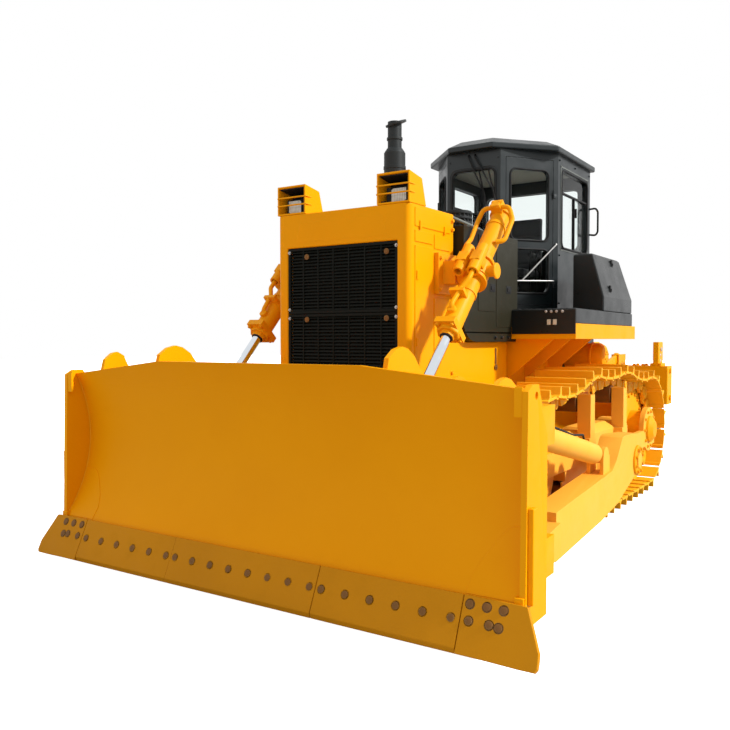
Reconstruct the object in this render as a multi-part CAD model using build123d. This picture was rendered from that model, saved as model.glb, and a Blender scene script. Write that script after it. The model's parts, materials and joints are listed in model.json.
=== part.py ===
from build123d import *
import math
import os

os.makedirs("parts", exist_ok=True)

# All sizes in mm. X runs forward from the sprocket axis, Y to the machine's left, Z up from the ground.

# Tracks
track_gauge = 2140
shoe_width = 560
shoe_pitch = 228.6
shoe_count = 43
shoe_plate = 20
grouser_height = 75
grouser_foot = 46
grouser_tip = 20
shoe_gap = 0.045
link_half = 62
rail_inner = 45
rail_outer = 105
sprocket_pitch_radius = 530
idler_pitch_radius = 515
idler_x_nominal = 3190
run_gap = 0.3
carrier_radius = 95
carrier_fit = 1.5
carrier_rise = 124
run_sags = (70, 60, 80)
line_step = 6
carrier_xs = (1050, 2150)
roller_radius = 105
roller_flange = 22
roller_xs = (620, 1012, 1404, 1796, 2188, 2580)
sprocket_teeth = 29
sprocket_tooth = 34
sprocket_thickness = 62
idler_flange = 28
shaft_radius = 42

# Track frames
beam_half = 150
beam_bottom = 470
beam_top = 780
beam_rear_x = 610
beam_front_x = 2640
skirt_plate = 16
skirt_bottom = 290
fork_plate = 34
fork_half_height = 95
post_half = 62
post_inner_reach = 116
post_outer_reach = 240
post_rise = 76
cover_top = 880
cover_shoulder = 805
cover_flat = 80
pedestal_reach = 181
pedestal_plate = 54
pedestal_radius = 250

# Hull
hull_half = 560
hull_plate = 36
hull_bottom = 500
hull_top = 1180
hull_rear_x = -620
hull_front_x = 4180
case_front_x = 720
case_half = 530
case_top = 1640
final_radius = 350
final_reach = 90
hub_radius = 205
hub_reach = 302
hub_cap_radius = 150
axle_radius = 120
equalizer_x = 2400
equalizer_half = 110

# Engine, hood and radiator guard
engine_size = (1300, 620, 1050)
engine_x = 3170
engine_bottom = 1190
hood_rear_x = 2480
hood_half = 430
hood_top = 2700
hood_wall = 30
guard_front_x = 4340
guard_rear_x = 3630
guard_half = 623
guard_bottom = 960
guard_top = 2727
guard_wall = 40
guard_edge = 48
side_sheet_rear_x = 2535
side_sheet_bottom = 1200
side_sheet_arc = 250
sheet_fit = 3
grille_half = 520
grille_bottom = 1300
grille_top = 2455
grille_depth = 40
slat_count = 24
slat_height = 16
slat_depth = 14
core_depth = 120
core_gap = 110
exhaust_x = 3520
muffler_radius = 92
stack_radius = 60
cap_radius = 92
cap_plate = 8
muffler_top = 3320
exhaust_top = 3630
cleaner_x = 2900
cleaner_y = 290
cleaner_radius = 135
cleaner_top = 2880
cleaner_ribs = 4

# Headlamps on the guard
lamp_width = 285
lamp_depth = 255
lamp_height = 235
lamp_roof_drop = 33
lamp_roof_depth = 190
lamp_wall = 14
lamp_inset = 8

# Lift cylinders, seen in the plane of each cylinder
lift_y = 898
lift_pivot_x = 3790
lift_pivot_z = 2241
lift_eye_x = 5000
lift_eye_z = 996
barrel_radius = 76
barrel_rear = 700
barrel_front = 653
flange_half = 112
flange_length = 52
ear_reach = 176
ear_hole = 24
lift_rod_radius = 38
lift_rod_back = 1575
rod_fit = 0.5
yoke_radius = 128
yoke_length = 130
yoke_pin_radius = 45
eye_radius = 78
eye_half = 80

# Blade and push arms
trunnion_x = 1900
trunnion_z = 600
trunnion_radius = 70
blade_half = 1965
blade_top_x = 5400
blade_back_x = 5190
blade_end_top = 1446
blade_mid_top = 1562
blade_bend_y = 884
blade_low_x = 5424
blade_low_z = 306
blade_plate = 45
end_plate = 34
end_plate_depth = 290
blade_lip_z = 170
edge_low_x = 5555
edge_low_z = 12
edge_plate = 35
edge_joint_y = 1622
edge_seam = 1
end_bit_top_y = 1985
end_bit_low_y = 2090
rib_depth = 330
rib_height = 230
fin_plate = 34
brace_gap = 270
lift_gap = 184
fin_low_top = 1500
fin_peak = 1675
gusset_y = 1620
gusset_peak = 1622
fin_rear_x = 4730
arm_reach = 380
arm_width = 200
arm_front_x = 4070
arm_depth = 330
arm_front_mid_z = 330
# Push arm's side outline: X, Z
arm_outline = ((4070, 165), (2996, 246), (2524, 309), (1950, 472), (1750, 544), (1750, 800), (1800, 840),
               (2300, 872), (2390, 860), (2570, 690), (2700, 610), (4070, 511))
tongue_front_x = 5000
brace_reach = 480
brace_radius = 86
brace_front_x = 4800
brace_front_z = 1190
brace_rear_x = 2780
brace_rear_z = 745
brace_eye_radius = 62
brace_eye_half = 40
brace_neck = 38
clevis_plate = 30
brace_pin = 28
pin_fit = 0.2
lifting_eye_x = 5280
lifting_eye_z = 1415
lifting_eye_radius = 22

# Platform and cab
deck_bottom = 1724
deck_plate = 136
deck_front_x = 2618
deck_rear_x = 650
deck_half = 1300
deck_inner = 560
step_rear_x = 770
step_height = 130
rib_xs = (1385, 2026, 2500)
rib_half = 16
rib_reach_y = 1060
rib_foot_z = 1330
cab_floor = 2000
cowl_half = 285
cowl_top = 2690
base_wall = 30
cab_front_x = 1960
cab_front_half = 300
cab_corner_x = 1400
cab_half = 700
cab_rear_x = 340
cab_top = 3640
cab_wall = 55
roof_eaves = 62
roof_height = 140
roof_over = 45
roof_front_over = 90
roof_inset = 170
window_round = 60
door_gap = 6
door_pin_out = 10
hinge_radius = 9.5
hinge_pin = 5
hinge_leaf = 6
hinge_length = 40
# Heights above the cab's floor as shares of its height: hinges, sills and the bar across the door
hinge_shares = (26 / 164, 118 / 164)
front_sill_share = 47 / 164
rear_sill_share = 76 / 164
side_sill_share = 69 / 164
door_sill_share = 20 / 164
door_bar_shares = (64 / 164, 74 / 164)
window_head = 190
side_window_head = 150
door_head = 70
door_plate = 45
door_sill = 70
door_margin = 60
glass_plate = 6
seat_size = (520, 540)
seat_x = 960
seat_top = 2520
tank_top = 2600
tank_gap = 8
tank_rear_x = -420
tank_half = 820
tank_shoulder = 90
side_box_outer_y = 700
side_box_front_x = 3600
side_box_z = (1700, 2640)
side_box_lip = 26
# Fender boxes beside the cab
box_rear_x = 750
box_front_x = 1770
box_inner_y = 985
box_outer_y = 1290
box_bend_z = 2132
box_top_y = 1177
box_top = 2550
box_rear_top_x = 855

# Ripper
rip_low_x = -760
rip_low_z = 720
rip_high_z = 1230
rip_arm = 1150
rip_rest_deg = 11
rip_arm_y = 560
rip_link_y = 400
rip_cyl_y = 190
rip_plate = 50
rip_cyl_half = 84
rip_cheek = 20
rip_cheek_gap = 6
rip_boss = 95
rip_pin = 42
rip_beam_half = 1060
rip_beam_depth = 300
rip_beam_drop = 127
rip_beam_height = 535
rip_stud = 36
shank_ys = (-900, 0, 900)
shank_plate = 78
shank_depth = 260
shank_tip_z = 250
shank_top_z = 1684
rip_setback = 140
rip_barrel_front = 850
rip_rod_back = 770
rip_barrel_radius = 80
rip_rod_radius = 42

# The origin lies under the middle of the whole machine's length.
edge_lean = math.atan2(blade_low_z - edge_low_z, edge_low_x - blade_low_x)
front_x = edge_low_x + edge_plate * math.sin(edge_lean)
rear_x = rip_low_x - rip_arm * math.cos(math.radians(rip_rest_deg)) - rip_setback - rip_beam_depth
origin_x = (front_x + rear_x) / 2

pitch_line = link_half + shoe_plate + grouser_height
sprocket_z = pitch_line + sprocket_pitch_radius
idler_z = pitch_line + idler_pitch_radius
track_y = track_gauge / 2

# What stands beside the track keeps its distance from the track's middle.
final_inner_y = track_y - final_reach
post_inner_y = track_y + post_inner_reach
post_outer_y = track_y + post_outer_reach
pedestal_inner_y = track_y + pedestal_reach
pedestal_outer_y = pedestal_inner_y + pedestal_plate
hub_outer_y = track_y + hub_reach
arm_inner_y = track_y + arm_reach
arm_outer_y = arm_inner_y + arm_width
brace_y = track_y + brace_reach

cab_height = cab_top - cab_floor
hinge_zs = [cab_height * share for share in hinge_shares]


def block(x0, x1, y0, y1, z0, z1):
    """Box between two corners."""
    middle = Location(((x0 + x1) / 2, (y0 + y1) / 2, (z0 + z1) / 2))
    return middle * Box(abs(x1 - x0), abs(y1 - y0), abs(z1 - z0))


def slab(points, y0, y1):
    """Plate with an outline in X and Z, between two heights in Y."""
    wire = Wire.make_polygon([(x, y0, z) for x, z in points], close=True)
    return extrude(Face(wire), amount=y1 - y0, dir=(0, 1, 0))


def plan(points, z0, z1):
    """Plate with an outline in X and Y, between two heights in Z."""
    wire = Wire.make_polygon([(x, y, z0) for x, y in points], close=True)
    return extrude(Face(wire), amount=z1 - z0, dir=(0, 0, 1))


def rod(start, end, radius):
    """Round bar from one point to another."""
    axis = Vector(*end) - Vector(*start)
    foot = (Align.CENTER, Align.CENTER, Align.MIN)
    return Plane(origin=start, z_dir=axis) * Cylinder(radius, axis.length, align=foot)


def cross_bar(x, z, radius, y0, y1):
    """Round bar along Y."""
    return rod((x, y0, z), (x, y1, z), radius)


def right_hand(shape):
    return mirror(shape, about=Plane.XZ)


def save(name, *shapes):
    shift = Location((-origin_x, 0, 0))
    solids = [shift * solid for shape in shapes for solid in shape.solids()]
    whole = solids[0] if len(solids) == 1 else Compound(children=solids)
    export_step(whole, f"parts/{name}.step")


def save_pair(name, shape):
    save(f"{name}_left", shape)
    save(f"{name}_right", right_hand(shape))


# Track path: a belt over circles, each given as x, z, pitch radius

def belt(circles):
    """Straight runs and arcs of a belt outside all circles, anticlockwise seen from -Y."""
    runs = []
    for (ax, az, ar), (bx, bz, br) in zip(circles, circles[1:] + circles[:1]):
        gap = math.hypot(bx - ax, bz - az)
        heading = math.atan2(bz - az, bx - ax)
        normal = heading - math.acos((ar - br) / gap)
        start = (ax + ar * math.cos(normal), az + ar * math.sin(normal))
        end = (bx + br * math.cos(normal), bz + br * math.sin(normal))
        runs.append((start, end, normal, (bx, bz, br)))
    pieces = []
    for (start, end, normal, circle), following in zip(runs, runs[1:] + runs[:1]):
        turn = (following[2] - normal) % (2 * math.pi)
        pieces.append(("line", start, end, math.dist(start, end)))
        pieces.append(("arc", circle, normal, turn * circle[2]))
    return pieces


def point_on(pieces, distance):
    for kind, first, second, length in pieces:
        if distance <= length:
            if kind == "line":
                share = distance / length
                return tuple(a + (b - a) * share for a, b in zip(first, second))
            angle = second + distance / first[2]
            return (first[0] + first[2] * math.cos(angle), first[1] + first[2] * math.sin(angle))
        distance -= length
    return pieces[0][1]


def track_circles(idler_x):
    circles = [(0, sprocket_z, sprocket_pitch_radius), (idler_x, idler_z, idler_pitch_radius)]
    reach = carrier_radius + link_half + run_gap
    for x in reversed(carrier_xs):
        share = x / idler_x
        run_z = sprocket_z + sprocket_pitch_radius
        run_z += (idler_z + idler_pitch_radius - run_z) * share
        circles.append((x, run_z + carrier_rise - reach, reach))
    return circles


def sagged(point, idler_x):
    """Point of the upper run, hanging between the wheels that carry it."""
    x, z = point
    stops = (0, *carrier_xs, idler_x)
    for near, far, sag in zip(stops, stops[1:], run_sags):
        if near < x < far and z > sprocket_z:
            share = (x - near) / (far - near)
            low = z - sag * 4 * share * (1 - share)
            seats = [wheel[1] + math.sqrt(wheel[2] ** 2 - (x - wheel[0]) ** 2)
                     for wheel in track_circles(idler_x) if abs(x - wheel[0]) < wheel[2]]
            return (x, max(low, *seats)) if seats else (x, low)
    return point


def run_line(idler_x):
    """Pitch line of the closed chain, as close points."""
    pieces = belt(track_circles(idler_x))
    length = sum(piece[3] for piece in pieces)
    steps = round(length / line_step)
    return [sagged(point_on(pieces, length * i / steps), idler_x) for i in range(steps)]


def line_length(points):
    return sum(math.dist(a, b) for a, b in zip(points, points[1:] + points[:1]))


def spaced(points, pitch, count):
    """Points at a pitch along a closed line, the first half a pitch from its start."""
    found = []
    passed = 0
    for here, there in zip(points, points[1:] + points[:1]):
        step = math.dist(here, there)
        while len(found) < count and passed + step >= pitch * (len(found) + 0.5):
            share = (pitch * (len(found) + 0.5) - passed) / step
            found.append(tuple(a + (b - a) * share for a, b in zip(here, there)))
        passed += step
    return found


# The idler slides forward until the chain of links is taut.
idler_x = idler_x_nominal
for turn in range(4):
    idler_x += (shoe_pitch * shoe_count - line_length(run_line(idler_x))) / 2
joint_points = spaced(run_line(idler_x), shoe_pitch, shoe_count)


def outset(points, amount):
    """Closed outline moved outwards at its corners."""
    moved = []
    for before, here, after in zip(points[-1:] + points[:-1], points, points[1:] + points[:1]):
        heading = math.atan2(after[1] - before[1], after[0] - before[0])
        moved.append((here[0] + amount * math.sin(heading), here[1] - amount * math.cos(heading)))
    return moved


def run_height(x):
    """Height of the upper run's inner face at a place along the machine."""
    line = outset(joint_points, -link_half)
    for front, rear in zip(line, line[1:] + line[:1]):
        if rear[0] <= x <= front[0] and min(front[1], rear[1]) > sprocket_z:
            return front[1] + (rear[1] - front[1]) * (front[0] - x) / (front[0] - rear[0])


def carrier_height(x):
    """Highest centre at which a carrier roller stays under the run."""
    reach = int(carrier_radius * 0.7)
    return min(run_height(x + d) - math.sqrt(carrier_radius ** 2 - d ** 2)
               for d in range(-reach, reach + 1, 6))


carrier_centres = [(x, carrier_height(x) - run_gap) for x in carrier_xs]


def shoe_outline():
    """Outer outline of the closed chain: for each shoe its plate and one grouser bar."""
    foot = grouser_foot / shoe_pitch
    tip = grouser_tip / shoe_pitch
    # columns: share of the pitch, height above the plate
    profile = [(shoe_gap, 0), (0.22, 0), (0.22 + (foot - tip) / 2, grouser_height),
               (0.22 + (foot + tip) / 2, grouser_height), (0.22 + foot, 0), (1 - shoe_gap, 0)]
    outline = []
    for start, end in zip(joint_points, joint_points[1:] + joint_points[:1]):
        heading = math.atan2(end[1] - start[1], end[0] - start[0])
        for share, height in profile:
            out = link_half + shoe_plate + height
            x = start[0] + (end[0] - start[0]) * share + out * math.sin(heading)
            z = start[1] + (end[1] - start[1]) * share - out * math.cos(heading)
            outline.append((x, z))
    return outline


def build_track():
    half = shoe_width / 2
    bore = slab(outset(joint_points, link_half), track_y - half - 1, track_y + half + 1)
    shoes = slab(shoe_outline(), track_y - half, track_y + half) - bore
    rails = []
    for side in (-1, 1):
        low, high = sorted((track_y + side * rail_inner, track_y + side * rail_outer))
        rim = slab(outset(joint_points, link_half + 1), low, high)
        hole = slab(outset(joint_points, -link_half), low - 1, high + 1)
        rails.append(rim - hole)
    return shoes + rails


def build_sprocket():
    step = math.pi / sprocket_teeth
    root = sprocket_pitch_radius - sprocket_tooth
    crown = sprocket_pitch_radius + sprocket_tooth * 0.5
    outline = []
    for tooth in range(sprocket_teeth):
        for turn, radius in ((-0.8, root), (-0.3, crown), (0.3, crown), (0.8, root)):
            angle = (2 * tooth + turn) * step
            outline.append((radius * math.cos(angle), sprocket_z + radius * math.sin(angle)))
    half = sprocket_thickness / 2
    ring = slab(outline, track_y - half, track_y + half)
    return ring - cross_bar(0, sprocket_z, axle_radius + run_gap, track_y - half, track_y + half)


def build_final_drive():
    housing = cross_bar(0, sprocket_z, final_radius, hull_half, final_inner_y)
    axle = cross_bar(0, sprocket_z, axle_radius, final_inner_y - 1, pedestal_inner_y)
    near_hub = cross_bar(0, sprocket_z, hub_radius, track_y + sprocket_thickness / 2 + run_gap,
                         pedestal_inner_y - run_gap)
    cap = cross_bar(0, sprocket_z, hub_cap_radius, pedestal_inner_y - 1, hub_outer_y - 42)
    cap += Plane(origin=(0, hub_outer_y - 43, sprocket_z), z_dir=(0, 1, 0)) * Cone(
        hub_cap_radius, hub_cap_radius * 0.6, 43, align=(Align.CENTER, Align.CENTER, Align.MIN))
    return housing + axle + near_hub + cap


def build_idler():
    flat = math.sqrt(idler_pitch_radius ** 2 - (shoe_pitch / 2) ** 2)
    tread = flat - link_half - run_gap
    wheel = cross_bar(idler_x, idler_z, tread, track_y - rail_outer - 12, track_y + rail_outer + 12)
    flange = cross_bar(idler_x, idler_z, tread + idler_flange,
                       track_y - rail_inner + 5, track_y + rail_inner - 5)
    shaft = cross_bar(idler_x, idler_z, shaft_radius, track_y - beam_half - fork_plate,
                      track_y + beam_half + fork_plate)
    return wheel + flange + shaft


def build_rollers():
    z = pitch_line + link_half + roller_radius + run_gap
    rollers = []
    for x in roller_xs:
        tread = cross_bar(x, z, roller_radius, track_y - rail_outer - 3, track_y + rail_outer + 3)
        for side in (-1, 1):
            low, high = sorted((track_y + side * (rail_outer + 3), track_y + side * (rail_outer + 20)))
            tread += cross_bar(x, z, roller_radius + roller_flange, low, high)
        inner = beam_half - skirt_plate
        tread += cross_bar(x, z, shaft_radius, track_y - inner, track_y + inner)
        rollers.append(tread)
    return rollers


def build_carriers():
    carriers = []
    for x, z in carrier_centres:
        wheel = cross_bar(x, z, carrier_radius - carrier_fit, track_y - rail_outer, track_y + rail_outer)
        carriers.append(wheel + cross_bar(x, z, shaft_radius, track_y - rail_outer - 12, post_inner_y))
    return carriers


def ridge(x0, x1):
    """Sheet cover on the beam, with sloped sides and ends."""
    half = beam_half
    outline = [(-half, beam_top - 1), (half, beam_top - 1), (half, cover_shoulder), (cover_flat, cover_top),
               (-cover_flat, cover_top), (-half, cover_shoulder)]
    wire = Wire.make_polygon([(x0, track_y + y, z) for y, z in outline], close=True)
    body = extrude(Face(wire), amount=x1 - x0, dir=(1, 0, 0))
    rise = cover_top - cover_shoulder
    ends = slab([(x0, beam_top - 2), (x1, beam_top - 2), (x1, cover_shoulder), (x1 - rise * 1.6, cover_top),
                 (x0 + rise * 1.6, cover_top), (x0, cover_shoulder)], track_y - half, track_y + half)
    return body & ends


def build_carrier_post(x, z):
    post = block(x - post_half, x + post_half, post_inner_y, post_outer_y, beam_top - 130, z + post_rise)
    post += block(x - post_half * 1.5, x + post_half * 1.5, track_y + beam_half - 1, post_outer_y,
                  beam_top - 170, beam_top + 30)
    post += block(x - post_half * 0.5, x + post_half * 0.5, track_y - beam_half + 20, post_inner_y + 1,
                  beam_top - 1, cover_top - 10)
    return post


def build_pedestal():
    """Outer bearing of the sprocket's axle, on an arm from the track frame."""
    ring = cross_bar(0, sprocket_z, pedestal_radius, pedestal_inner_y, pedestal_outer_y)
    ring += block(-pedestal_radius, beam_rear_x + 60, pedestal_inner_y, pedestal_outer_y,
                  beam_bottom + 30, sprocket_z)
    ring += block(beam_rear_x - 20, beam_rear_x + 60, track_y + beam_half - 1, pedestal_outer_y,
                  beam_bottom + 30, sprocket_z)
    return ring - cross_bar(0, sprocket_z, hub_cap_radius + run_gap, pedestal_inner_y - 1, pedestal_outer_y + 1)


def build_track_frame():
    beam = block(beam_rear_x, beam_front_x, track_y - beam_half, track_y + beam_half,
                 beam_bottom, beam_top)
    for side in (-1, 1):
        outer = track_y + side * beam_half
        low, high = sorted((outer, outer - side * skirt_plate))
        beam += block(roller_xs[0] - 130, roller_xs[-1] + 130, low, high, skirt_bottom, beam_bottom + 1)
        low, high = sorted((outer, outer + side * fork_plate))
        arm = block(beam_front_x - 300, idler_x + fork_half_height, low, high,
                    idler_z - fork_half_height, idler_z + fork_half_height)
        beam += arm - cross_bar(idler_x, idler_z, shaft_radius, low, high)
    stops = (beam_rear_x + 20, *carrier_xs, beam_front_x - 10)
    for near, far in zip(stops, stops[1:]):
        beam += ridge(near + post_half * (near > stops[0]), far - post_half * (far < stops[-1]))
    for x, z in carrier_centres:
        beam += build_carrier_post(x, z)
    beam += build_pedestal()
    beam += cross_bar(trunnion_x, trunnion_z, trunnion_radius, track_y + beam_half - 1, arm_outer_y + 30)
    beam += cross_bar(trunnion_x, trunnion_z, trunnion_radius * 1.7, track_y + beam_half - 1,
                      arm_inner_y - 20)
    return beam


def build_equalizer():
    reach = track_y - beam_half
    return block(equalizer_x - equalizer_half, equalizer_x + equalizer_half, -reach, reach,
                 hull_bottom - 90, hull_bottom)


def build_main_frame():
    hull = block(hull_rear_x, hull_front_x, -hull_half, hull_half, hull_bottom, hull_top)
    hull -= block(case_front_x, hull_front_x - hull_plate, -hull_half + hull_plate,
                  hull_half - hull_plate, hull_bottom + hull_plate, hull_top + 1)
    return hull - block(hull_rear_x - 1, case_front_x, -case_half, case_half,
                        hull_bottom + hull_plate, hull_top + 1)


def build_rear_case():
    return block(hull_rear_x, case_front_x, -case_half, case_half, hull_bottom + hull_plate, case_top)


def build_engine():
    length, width, height = engine_size
    return block(engine_x - length / 2, engine_x + length / 2, -width / 2, width / 2,
                 hull_bottom + hull_plate, engine_bottom + height)


def build_hood():
    shell = block(hood_rear_x, guard_rear_x, -hood_half, hood_half, engine_bottom + 600, hood_top)
    inside = block(hood_rear_x + hood_wall, guard_rear_x + 1, -hood_half + hood_wall,
                   hood_half - hood_wall, engine_bottom + 500, hood_top - hood_wall)
    return shell - inside


def build_guard():
    shell = block(guard_rear_x, guard_front_x, -guard_half, guard_half, guard_bottom, guard_top)
    fronts = [edge for edge in shell.edges().filter_by(Axis.Z) if edge.center().X > guard_front_x - 1]
    shell = fillet(fronts, guard_edge)
    shell -= block(guard_rear_x - 1, guard_front_x - guard_wall, -guard_half + guard_wall,
                   guard_half - guard_wall, hull_top, guard_top - guard_wall)
    shell -= block(guard_rear_x - 1, guard_front_x - guard_wall, -hull_half, hull_half,
                   guard_bottom - 1, hull_top + 1)
    shell -= block(guard_front_x - guard_wall - 1, guard_front_x + 1, -grille_half, grille_half,
                   grille_bottom, grille_top)
    sheet = build_side_sheet()
    return shell + sheet + right_hand(sheet)


def build_side_sheet():
    """Sheet behind the guard's side, with a hollow arc up to the guard."""
    top = side_box_z[0] - run_gap
    corner = (guard_rear_x - side_sheet_arc, top + side_sheet_arc)
    arc = [(corner[0] + side_sheet_arc * math.sin(turn), corner[1] - side_sheet_arc * math.cos(turn))
           for turn in [math.radians(15 * i) for i in range(7)]]
    outline = [(side_sheet_rear_x, side_sheet_bottom), (guard_rear_x + 1, side_sheet_bottom),
               (guard_rear_x + 1, corner[1]), *reversed(arc), (side_sheet_rear_x, top)]
    return slab(outline, guard_half - guard_wall, guard_half)


def build_grille():
    frame = block(guard_front_x - grille_depth, guard_front_x, -grille_half, grille_half,
                  grille_bottom, grille_top)
    rim = 26
    clear = block(guard_front_x - grille_depth - 1, guard_front_x + 1, -grille_half + rim,
                  grille_half - rim, grille_bottom + rim, grille_top - rim)
    bars = frame - clear
    step = (grille_top - grille_bottom) / slat_count
    for i in range(1, slat_count):
        z = grille_bottom + step * i
        bars += block(guard_front_x - grille_depth + 4, guard_front_x - grille_depth + 4 + slat_depth,
                      -grille_half + rim - 1, grille_half - rim + 1, z - slat_height / 2,
                      z + slat_height / 2)
    return bars


def build_core():
    x = guard_front_x - guard_wall - core_gap
    return block(x - core_depth, x, -guard_half + guard_wall, guard_half - guard_wall,
                 hull_top + 60, grille_top)


def build_exhaust():
    muffler = rod((exhaust_x, 0, hood_top), (exhaust_x, 0, muffler_top), muffler_radius)
    pipe_top = exhaust_top - cap_radius * 0.4 - cap_plate
    muffler += rod((exhaust_x, 0, muffler_top - 1), (exhaust_x, 0, pipe_top), stack_radius)
    foot = Vector(exhaust_x - 6, 12, pipe_top - cap_plate * 2.5)
    return muffler + rod(foot, foot + Vector(0.28, -0.16, 0.94) * cap_plate * 2, cap_radius)


def build_cleaner():
    """Low intake drum with ribs."""
    drum = rod((cleaner_x, cleaner_y, hood_top), (cleaner_x, cleaner_y, cleaner_top), cleaner_radius * 0.9)
    step = (cleaner_top - hood_top) / cleaner_ribs
    for i in range(cleaner_ribs):
        z = hood_top + step * (i + 0.25)
        drum += rod((cleaner_x, cleaner_y, z), (cleaner_x, cleaner_y, z + step / 2), cleaner_radius)
    return drum


def lamp_side(inset):
    """Side outline of a lamp's hood, or of its hollow."""
    top = guard_top + lamp_height - inset
    rear = guard_front_x - lamp_depth + inset
    return [(guard_front_x + (inset > 0), guard_top + inset), (guard_front_x + (inset > 0), top),
            (guard_front_x - lamp_roof_depth + inset * 0.6, top - lamp_roof_drop), (rear, guard_top + inset)]


def build_lamp_housing():
    outer = guard_half
    shell = slab(lamp_side(0), outer - lamp_width, outer)
    return shell - slab(lamp_side(lamp_wall), outer - lamp_width + lamp_wall, outer - lamp_wall)


def build_lamp():
    outer = guard_half - lamp_wall - lamp_inset * 4
    return block(guard_front_x - lamp_roof_depth + lamp_wall, guard_front_x - 60,
                 outer - lamp_width + (lamp_wall + lamp_inset * 4) * 2, outer,
                 guard_top + lamp_wall, guard_top + lamp_height - lamp_wall - 85)


# Lift cylinders: the barrel turns at its yoke, the rod slides along it

def along(start, end, distance):
    """Point at a distance from start on the way to end, in X and Z."""
    length = math.dist(start, end)
    return tuple(a + (b - a) * distance / length for a, b in zip(start, end))


lift_pivot = (lift_pivot_x, lift_pivot_z)
lift_eye = (lift_eye_x, lift_eye_z)


def spot(point, y):
    return (point[0], y, point[1])


def tube_along(start, end, near, far, radius, y):
    return rod(spot(along(start, end, near), y), spot(along(start, end, far), y), radius)


def lift_spot(distance, rise):
    """Point in the lift cylinder's own frame: along it and square to it."""
    x, z = along(lift_pivot, lift_eye, distance)
    span = math.dist(lift_pivot, lift_eye)
    return (x + rise * (lift_pivot_z - lift_eye_z) / span, z + rise * (lift_eye_x - lift_pivot_x) / span)


def lift_block(near, far, low, high, y0, y1):
    return slab([lift_spot(near, low), lift_spot(far, low), lift_spot(far, high), lift_spot(near, high)],
                lift_y + y0, lift_y + y1)


def build_lift_barrel():
    barrel = tube_along(lift_pivot, lift_eye, -barrel_rear, barrel_front, barrel_radius, lift_y)
    barrel += tube_along(lift_pivot, lift_eye, -yoke_length / 2, yoke_length / 2, yoke_radius * 0.86, lift_y)
    barrel += tube_along(lift_pivot, lift_eye, -barrel_rear - 30, 40 - barrel_rear, barrel_radius * 1.2, lift_y)
    barrel += lift_block(-barrel_rear - 24, 70 - barrel_rear, 0, barrel_radius + 58, -44, 44)
    for side in (-1, 1):
        ear = lift_block(-yoke_length * 0.36, yoke_length * 0.36, 60, ear_reach, *sorted((side * 18, side * 96)))
        middle = side * 60
        ear -= tube_along(lift_spot(-yoke_length, ear_reach - 48), lift_spot(yoke_length, ear_reach - 48),
                          0, yoke_length * 2, ear_hole, lift_y + middle)
        barrel += ear
    barrel += lift_block(barrel_front - flange_length, barrel_front, -flange_half, flange_half,
                         -flange_half * 0.72, flange_half * 0.72)
    barrel += lift_block(barrel_front - 330, barrel_front - 300, 0, barrel_radius + 62, -60, 60)
    barrel += cross_bar(*lift_pivot, yoke_pin_radius, lift_y - yoke_radius - 34, lift_y + yoke_radius + 34)
    bore = tube_along(lift_pivot, lift_eye, 10 - barrel_rear, barrel_front + 1,
                      lift_rod_radius + rod_fit, lift_y)
    return barrel - bore


def build_lift_rod():
    reach = math.dist(lift_pivot, lift_eye)
    bar = tube_along(lift_pivot, lift_eye, reach - lift_rod_back, reach - eye_radius + 4,
                     lift_rod_radius, lift_y)
    return bar + cross_bar(*lift_eye, eye_radius, lift_y - eye_half, lift_y + eye_half)


def build_yoke():
    """Bracket on the guard's side whose fork holds the barrel's cross pin."""
    inner = lift_y - yoke_radius - 4
    pad = block(lift_pivot_x - 170, lift_pivot_x + 170, guard_half, guard_half + 40,
                lift_pivot_z - 170, lift_pivot_z + 150)
    pad += block(lift_pivot_x - 90, lift_pivot_x + 90, guard_half + 39, inner,
                 lift_pivot_z - 90, lift_pivot_z + 90)
    return pad - cross_bar(*lift_pivot, yoke_pin_radius + rod_fit, inner - 32, inner + 1)


# Blade: the front face is an arc in X and Z

# Pairs of upright plates: distance from the middle, gap between them, heights of the inner and outer one
fins = ((lift_y, lift_gap, (fin_low_top, fin_peak)), (brace_y, brace_gap, (fin_low_top, fin_low_top)))


def blade_face(back, top):
    """Outline of a curved plate: front arc and an arc set back from it."""
    front_top = (blade_top_x - back, top)
    front_mid = (blade_back_x - back, (blade_end_top + blade_low_z) / 2)
    front_low = (blade_low_x - back, blade_low_z)
    return front_top, front_mid, front_low


def curved_plate(front_back, rear_back, y0, y1, top):
    a_top, a_mid, a_low = [Vector(x, y0, z) for x, z in blade_face(front_back, top)]
    b_top, b_mid, b_low = [Vector(x, y0, z) for x, z in blade_face(rear_back, top)]
    edges = [ThreePointArc(a_top, a_mid, a_low), Line(a_low, b_low),
             ThreePointArc(b_low, b_mid, b_top), Line(b_top, a_top)]
    face = Face(Wire(edges))
    return extrude(face, amount=y1 - y0, dir=(0, 1, 0))


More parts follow.
